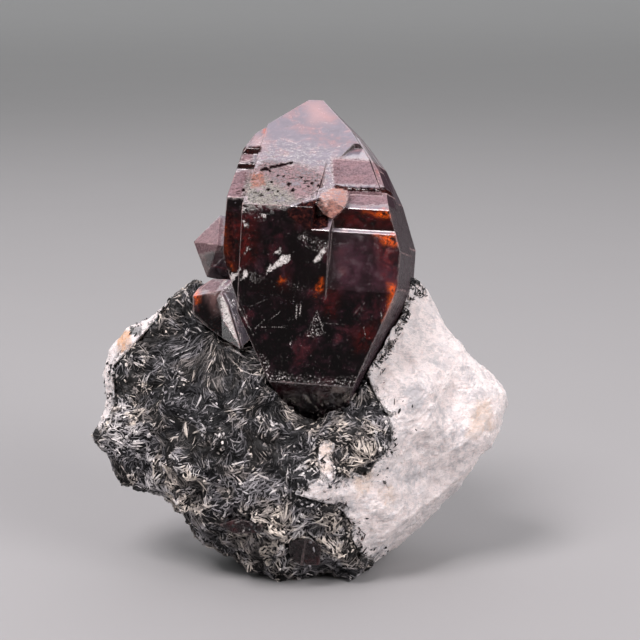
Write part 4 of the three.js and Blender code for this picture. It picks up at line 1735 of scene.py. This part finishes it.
ZIRCON_MARKS = {
    "crust": Mark(
        areas=(
            ((-17.6, 4.7), (-16.4, 4.3), (-13.8, -2.9), (-13.6, -4.6), (-14.9, -2.9), (-17.2, 2.2)),
            (
                (-5.0, 10.7), (-5.4, 9.7), (-6.7, 9.1), (-8.1, 8.2), (-8.9, 8.3), (-8.1, 9.3),
                (-6.9, 10.1), (-6.0, 10.8),
            ),
            ((1.2, 12.4), (1.2, 11.2), (0.0, 10.2), (-1.2, 9.7), (-0.3, 10.7), (0.2, 11.7)),
            ((-15.4, 8.4), (-15.4, 6.6), (-14.5, 6.7), (-14.0, 7.5), (-13.2, 9.1), (-14.3, 8.0)),
            ((-13.0, 8.9), (-12.2, 7.6), (-13.0, 6.8), (-14.0, 6.8), (-13.0, 7.6)),
        ),
        lines=(
            (0.12, ((-8.8, 8.3), (-9.1, 7.4), (-9.9, 6.7))),
            (0.1, ((-7.7, 11.3), (-6.7, 11.8))),
            (0.12, ((-16.6, 10.3), (-15.4, 8.4))),
            (0.1, ((-12.1, 12.3), (-12.8, 11.0))),
            (0.15, ((-16.5, 6.8), (-17.0, 6.1), (-15.7, 5.7))),
            (0.1, ((-13.1, 19.0), (-13.0, 18.4))),
            (0.1, ((-12.8, 16.8), (-12.6, 15.8), (-12.1, 15.7))),
            (0.1, ((-9.7, 17.8), (-9.2, 17.3))),
            (0.12, ((7.1, 21.2), (8.3, 20.5))),
            (0.25, ((11.4, 21.6),)),
            (0.2, ((5.6, 20.9),)),
        ),
    ),
    "crack": Mark(
        lines=(
            (0.08, ((-3.9, 2.9), (-4.0, 0.3))),
            (0.08, ((-3.2, 2.7), (-3.4, 0.7))),
            (0.06, ((1.3, 15.0), (6.7, 15.0), (12.9, 14.8))),
            (0.03, ((2.2, 14.5), (1.7, 10.9), (1.3, 8.2))),
            (0.1, ((-15.0, 5.4), (-14.0, 2.9), (-12.7, 0.2), (-11.1, -2.7))),
            (0.05, ((-13.5, 3.2), (-12.3, 0.3))),
            (0.03, ((-12.0, 2.2), (-8.9, 3.5))),
            (0.03, ((-11.0, -1.5), (-7.9, 1.5))),
            (0.03, ((-9.9, -1.2), (-5.9, -1.2), (-4.4, 0.2))),
            (0.03, ((0.5, -0.5), (4.2, -0.8), (7.0, 2.5))),
            (0.03, ((7.3, -1.2), (7.7, -3.5), (9.1, -4.6))),
            (0.03, ((10.0, 3.2), (10.3, 0.2))),
            (0.05, ((-4.7, -2.4), (-5.0, -4.2))),
            (0.04, ((-0.5, 1.4), (0.7, -2.2), (-2.3, -2.7), (-0.5, 1.4))),
            (0.03, ((-8.8, -0.2), (-6.9, 1.2), (-6.2, 2.6))),
            (0.03, ((5.0, -0.6), (6.4, 0.6), (7.4, 2.9))),
            (0.06, ((4.8, 20.2), (6.8, 20.9))),
            (0.05, ((7.1, 19.4), (10.1, 20.1), (12.3, 20.3))),
            (0.05, ((6.8, 21.6), (8.1, 20.8))),
            (0.04, ((-6.8, 30.6), (-2.6, 29.2), (1.4, 29.4), (4.6, 30.7))),
            (0.04, ((-8.2, 32.5), (-4.4, 30.9), (-1.0, 30.6))),
            (0.03, ((-4.2, 35.3), (0.5, 35.1), (2.2, 34.7))),
            (0.03, ((-7.8, 28.8), (-4.9, 28.3), (0.8, 27.0))),
        ),
    ),
    "speckle": Mark(
        areas=(
            ((-0.5, 1.2), (0.6, -2.2), (-1.0, -3.1), (-2.3, -2.4), (-1.4, -0.8)),
            ((-3.7, 13.7), (-2.3, 14.6), (-1.7, 13.6), (1.0, 13.0), (1.2, 12.0), (-0.3, 11.6), (-2.2, 12.4)),
            ((-12.3, 8.2), (-10.5, 8.0), (-9.6, 7.0), (-10.6, 6.4), (-11.8, 7.0)),
        ),
        lines=(
            (0.8, ((-9.8, -6.9), (-8.4, -9.6), (-2.9, -10.2), (2.2, -10.5), (5.2, -10.2))),
            (0.5, ((-13.1, 18.7), (-10.8, 18.2), (-9.8, 17.1))),
            (0.15, ((-5.6, 6.2), (-3.4, 5.2), (-2.2, 5.2))),
        ),
    ),
    "glow": Mark(
        areas=(
            ((9.1, 14.3), (12.6, 14.4), (13.2, 13.2), (12.4, 12.4), (10.4, 13.1)),
            ((7.2, 18.4), (9.1, 18.1), (11.1, 18.5), (12.2, 17.3), (9.9, 17.2)),
            ((11.5, 6.0), (12.9, 6.2), (12.7, 3.8), (11.6, 1.3), (10.6, -0.8), (10.6, 0.3), (11.4, 3.3)),
            ((-0.2, 5.9), (0.3, 6.9), (0.1, 5.0), (-0.7, 4.4), (-1.1, 4.9)),
            ((-16.9, 16.5), (-15.7, 16.1), (-15.6, 11.1), (-16.1, 11.1)),
            ((-6.9, 7.7), (-6.2, 7.5), (-6.0, 6.5), (-6.8, 6.2)),
            ((-15.6, 9.9), (-14.7, 9.6), (-14.7, 8.0), (-15.4, 8.2)),
            ((-22.4, 5.7), (-21.0, 5.4), (-21.2, 1.9), (-22.2, 2.6)),
            ((-10.0, 33.9), (-9.7, 33.8), (-9.7, 33.1), (-9.9, 33.2)),
            ((9.6, 25.9), (10.3, 26.1), (10.2, 24.9), (9.6, 25.2)),
        ),
    ),
    "blush": Mark(
        areas=(
            ((-2.5, 39.1), (0.0, 39.3), (2.3, 35.9), (1.8, 35.3), (-1.4, 35.4)),
            ((-12.3, 25.5), (-10.0, 25.2), (-9.9, 22.6), (-11.8, 22.8)),
            ((-11.9, 32.2), (-10.3, 32.3), (-10.0, 30.3), (-11.4, 30.0)),
            ((-12.6, 25.2), (-10.4, 25.0), (-10.2, 23.0), (-12.2, 23.0)),
            ((-22.3, 14.2), (-18.5, 17.0), (-18.0, 12.5), (-20.5, 11.5), (-19.5, 7.5), (-21.0, 9.0)),
            ((-20.0, 5.0), (-17.0, 5.0), (-18.0, 1.5)),
        ),
    ),
    "pink": Mark(
        areas=(
            ((3.2, 22.9), (4.7, 22.0), (4.6, 19.7), (3.4, 18.0), (1.9, 16.8), (-0.4, 18.2), (0.0, 21.2)),
            ((-11.9, 25.2), (-9.7, 25.6), (-9.3, 23.2), (-11.6, 22.7)),
        ),
    ),
    "red": Mark(
        areas=(
            ((-16.1, 18.3), (-10.4, 17.5), (-10.8, 9.8), (-14.3, 8.2), (-15.7, 9.9)),
            ((-3.3, 17.9), (1.3, 16.5), (0.7, 14.7), (-4.0, 15.8)),
            ((1.2, 18.6), (12.0, 19.0), (13.0, 15.4), (1.3, 15.4)),
            ((8.7, 14.1), (13.2, 14.7), (12.8, 6.7), (10.8, 5.0), (9.7, 9.7)),
            ((5.3, -1.7), (9.3, -0.3), (9.9, -4.3), (6.0, -5.3)),
            ((1.0, 5.0), (3.3, 5.0), (2.3, 0.3), (0.3, 1.7)),
            ((-6.7, 7.6), (-5.2, 7.5), (-5.5, 5.4), (-6.3, 5.3)),
        ),
    ),
    "etch": Mark(
        areas=(
            (
                (-12.8, 24.9), (-10.0, 27.5), (-3.4, 26.9), (0.3, 25.5), (1.0, 23.2), (-1.3, 20.5),
                (-3.7, 19.5), (-6.7, 18.8), (-9.7, 18.8), (-12.8, 19.4), (-13.2, 21.8),
            ),
        ),
        reach=7.0,
    ),
    # painted shade: dull dark red on step shadows, the wedge below the grain, the side crystal's upper face
    # and along one line
    "bare": Mark(
        areas=(
            (
                (-5.4, 17.5), (-5.4, 18.5), (-3.8, 19.2), (-1.7, 19.9), (0.0, 20.4), (1.4, 18.4),
                (1.3, 15.6), (-1.6, 14.9),
            ),
            ((-14.4, 30.4), (-10.3, 30.4), (-10.3, 29.2), (-14.4, 29.2)),
            ((-15.4, 27.3), (-11.4, 27.2), (-11.4, 26.5), (-15.4, 26.6)),
            ((-16.5, 18.5), (-14.9, 18.5), (-14.7, 13.5), (-15.2, 8.9), (-16.2, 9.0)),
        ),
        lines=((0.25, ((2.6, 22.5), (12.2, 22.0))),),
    ),
    "matt": Mark(
        areas=(
            ((-22.6, 14.0), (-18.0, 18.0), (-16.8, 18.0), (-17.0, 12.0), (-22.0, 11.5)),
            ((1.8, 28.2), (12.5, 27.4), (13.0, 22.6), (2.2, 23.0)),
            ((4.4, 22.3), (12.6, 21.9), (13.2, 19.2), (4.6, 19.4)),
            ((-16.4, 25.8), (-12.8, 26.0), (-13.2, 20.8), (-16.8, 21.0)),
            ((-14.6, 29.4), (-11.6, 29.4), (-11.9, 27.6), (-15.0, 27.6)),
            ((-21.8, 7.4), (-16.9, 7.0), (-18.0, 4.6), (-21.6, 5.4)),
        )
    ),
    "green": Mark(
        areas=(
            (
                (-13.2, 24.0), (-9.5, 24.6), (-5.5, 22.0), (-3.5, 20.0), (-6.7, 18.6), (-9.7, 18.6),
                (-12.8, 19.2),
            ),
        ),
        reach=5.0,
    ),
    # painted reflection: the lilac sheen of the panel
    "sheen": Mark(areas=(((3.4, 13.2), (12.7, 13.6), (12.7, 5.2), (3.0, 5.2)),), reach=5.0),
    "pits": Mark(
        lines=(
            (0.2, ((-8.6, 26.4), (-6.9, 26.7), (-4.7, 27.1))),
            (0.2, ((-10.0, 25.8), (-9.3, 26.2), (-8.6, 25.6))),
            *(
                (0.1 + 0.08 * (number % 3), (spot,))
                for number, spot in enumerate((
                    (-7.2, 24.8), (-6.2, 24.6), (-5.3, 23.1), (-4.1, 25.4), (-3.2, 24.4), (-1.4, 23.3),
                    (-0.7, 23.8), (-0.3, 22.9), (-1.9, 22.7), (-3.4, 22.0), (-7.1, 21.9), (-13.2, 22.3),
                    (-9.8, 21.1), (-8.2, 23.5), (-8.8, 22.1), (-5.8, 25.8), (-2.6, 23.7), (-4.6, 22.0),
                ))
            ),
        ),
    ),
}
MICA_SPRAYS = (
    Spray(-17.9, -2.2, 13.0),
    Spray(-9.0, -13.0, 7.0, 0.5),
)
MICA_PALE = Mark(
    areas=(
        (
            (-3.6, -28.0), (-1.6, -26.5), (-1.8, -22.0), (-0.6, -19.6), (3.0, -19.2), (4.2, -23.0),
            (5.4, -25.4),
        ),
        ((3.2, -31.6), (6.0, -33.0), (7.0, -39.0), (5.4, -40.5), (4.2, -35.5)),
    ),
    lines=tuple(
        (half, ((x, z),))
        for half, x, z in (
            (0.7, -24.1, -10.3), (0.5, -24.9, -9.0), (0.6, -18.0, -13.3), (0.6, -33.7, -15.4),
            (0.5, -32.9, -17.1), (0.7, -9.8, -16.6), (0.5, -8.5, -17.6), (0.4, -16.5, -19.7),
            (0.6, -12.1, -22.9), (0.6, -30.4, -26.9), (0.6, -32.4, -28.0), (0.5, -21.5, -31.8),
            (0.4, -5.6, -33.7), (0.9, -2.5, -25.8), (0.4, -26.1, -1.8), (0.4, -13.6, -8.5),
        )
    ),
)
MICA_FELTED = Mark(
    areas=(((-19.5, -27.0), (-13.5, -25.4), (-5.9, -26.8), (-3.0, -30.2), (-8.4, -32.0), (-16.2, -32.7)),)
)
MICA_SILVER = Mark(
    areas=(
        ((3.4, -12.0), (6.5, -13.2), (9.2, -14.6), (9.6, -20.2), (8.2, -26.4), (4.3, -25.5), (3.6, -18.6)),
        (
            (-37.5, -13.0), (-30.0, -16.0), (-27.0, -22.0), (-18.0, -28.0), (-17.0, -34.0),
            (-26.0, -33.0), (-38.0, -23.0),
        ),
        ((-19.0, -33.0), (-8.0, -30.0), (4.0, -34.0), (5.0, -43.0), (-12.0, -43.0)),
    ),
)
SEAM = Mark(
    lines=(
        (0.35, ((16.0, 3.5), (14.5, -0.3), (11.7, -5.2), (7.8, -9.8))),
        (0.9, ((14.6, 6.1), (16.6, 6.4), (17.7, 5.0))),
    )
)
FELDSPAR_MARKS = {
    "grey": Mark(
        areas=(
            ((12.9, -11.6), (16.7, -11.2), (17.7, -14.0), (15.3, -15.6), (12.9, -14.3)),
            ((20.6, -19.3), (26.1, -18.8), (27.6, -21.6), (24.7, -23.0), (20.7, -22.1)),
            ((12.3, -25.6), (15.8, -24.4), (19.1, -26.1), (16.3, -28.0), (13.0, -28.0)),
            ((18.8, -4.4), (20.9, -5.6), (20.7, -8.3), (18.6, -7.2)),
            ((26.2, -12.6), (28.4, -12.3), (29.1, -14.4), (26.8, -15.0)),
        )
    ),
    "beige": Mark(
        areas=(
            ((26.8, -14.6), (30.2, -14.0), (30.6, -19.0), (27.9, -21.3), (25.3, -20.5)),
            ((9.5, -29.0), (12.3, -27.6), (13.4, -30.9), (10.9, -32.5)),
            ((5.4, -26.7), (8.8, -25.4), (9.5, -29.3), (6.1, -30.6)),
            ((-0.9, -20.0), (2.8, -20.0), (2.8, -25.5), (-0.9, -25.5)),
        )
    ),
    "stain": Mark(areas=(((-36.3, -2.0), (-33.8, -1.8), (-32.9, -5.3), (-35.7, -5.6)),)),
    "dark": Mark(
        areas=(((-34.1, -1.1), (-31.8, -0.9), (-31.4, -2.5), (-33.6, -2.5)),),
        lines=((0.3, ((14.6, 6.8), (17.8, 7.0))),),
    ),
}
NO_MARKS = {name: Mark() for name in ZIRCON_MARKS}


def main() -> None:
    """Builds the specimen and the studio."""
    Zircon(marks=ZIRCON_MARKS).build(ZirconFinish())
    brown = ZirconFinish(
        name="zircon_brown", deep=(0.008, 0.003, 0.004), brown=(0.020, 0.007, 0.010), refraction=1.45,
        dull_share=0.75, worn=0.15,
    )
    brown_material = brown.material()
    low = [LowZircon(node).build(brown_material) for node in ("zircon_in_mica", "zircon_at_foot")]
    feldspar = Feldspar(marks=FELDSPAR_MARKS).build(FeldsparFinish())
    matrix = Mica(sprays=MICA_SPRAYS, pale=MICA_PALE, felted=MICA_FELTED, silver=MICA_SILVER)
    mica = matrix.build(MicaFinish(), feldspar)
    # marks how near the feldspar lies to the mica, for its darkening with painted shade
    feldspar.paint("near", near_share(mica, FACE.to_face(feldspar.points), MICA_AND_SHADE_REACH))
    flake_material = mica.object.data.materials[0]
    Flakes("mica_flakes", count=8000, reach=1.1, seam=SEAM).build(flake_material, feldspar, mica)
    for number, crystal in enumerate(low, 1):
        Flakes(f"mica_on_zircon_{number}", count=250, reach=0.9).build(flake_material, crystal, mica)
    Studio().build(FloorFinish())
    write_sizes()


if __name__ == "__main__":
    main()
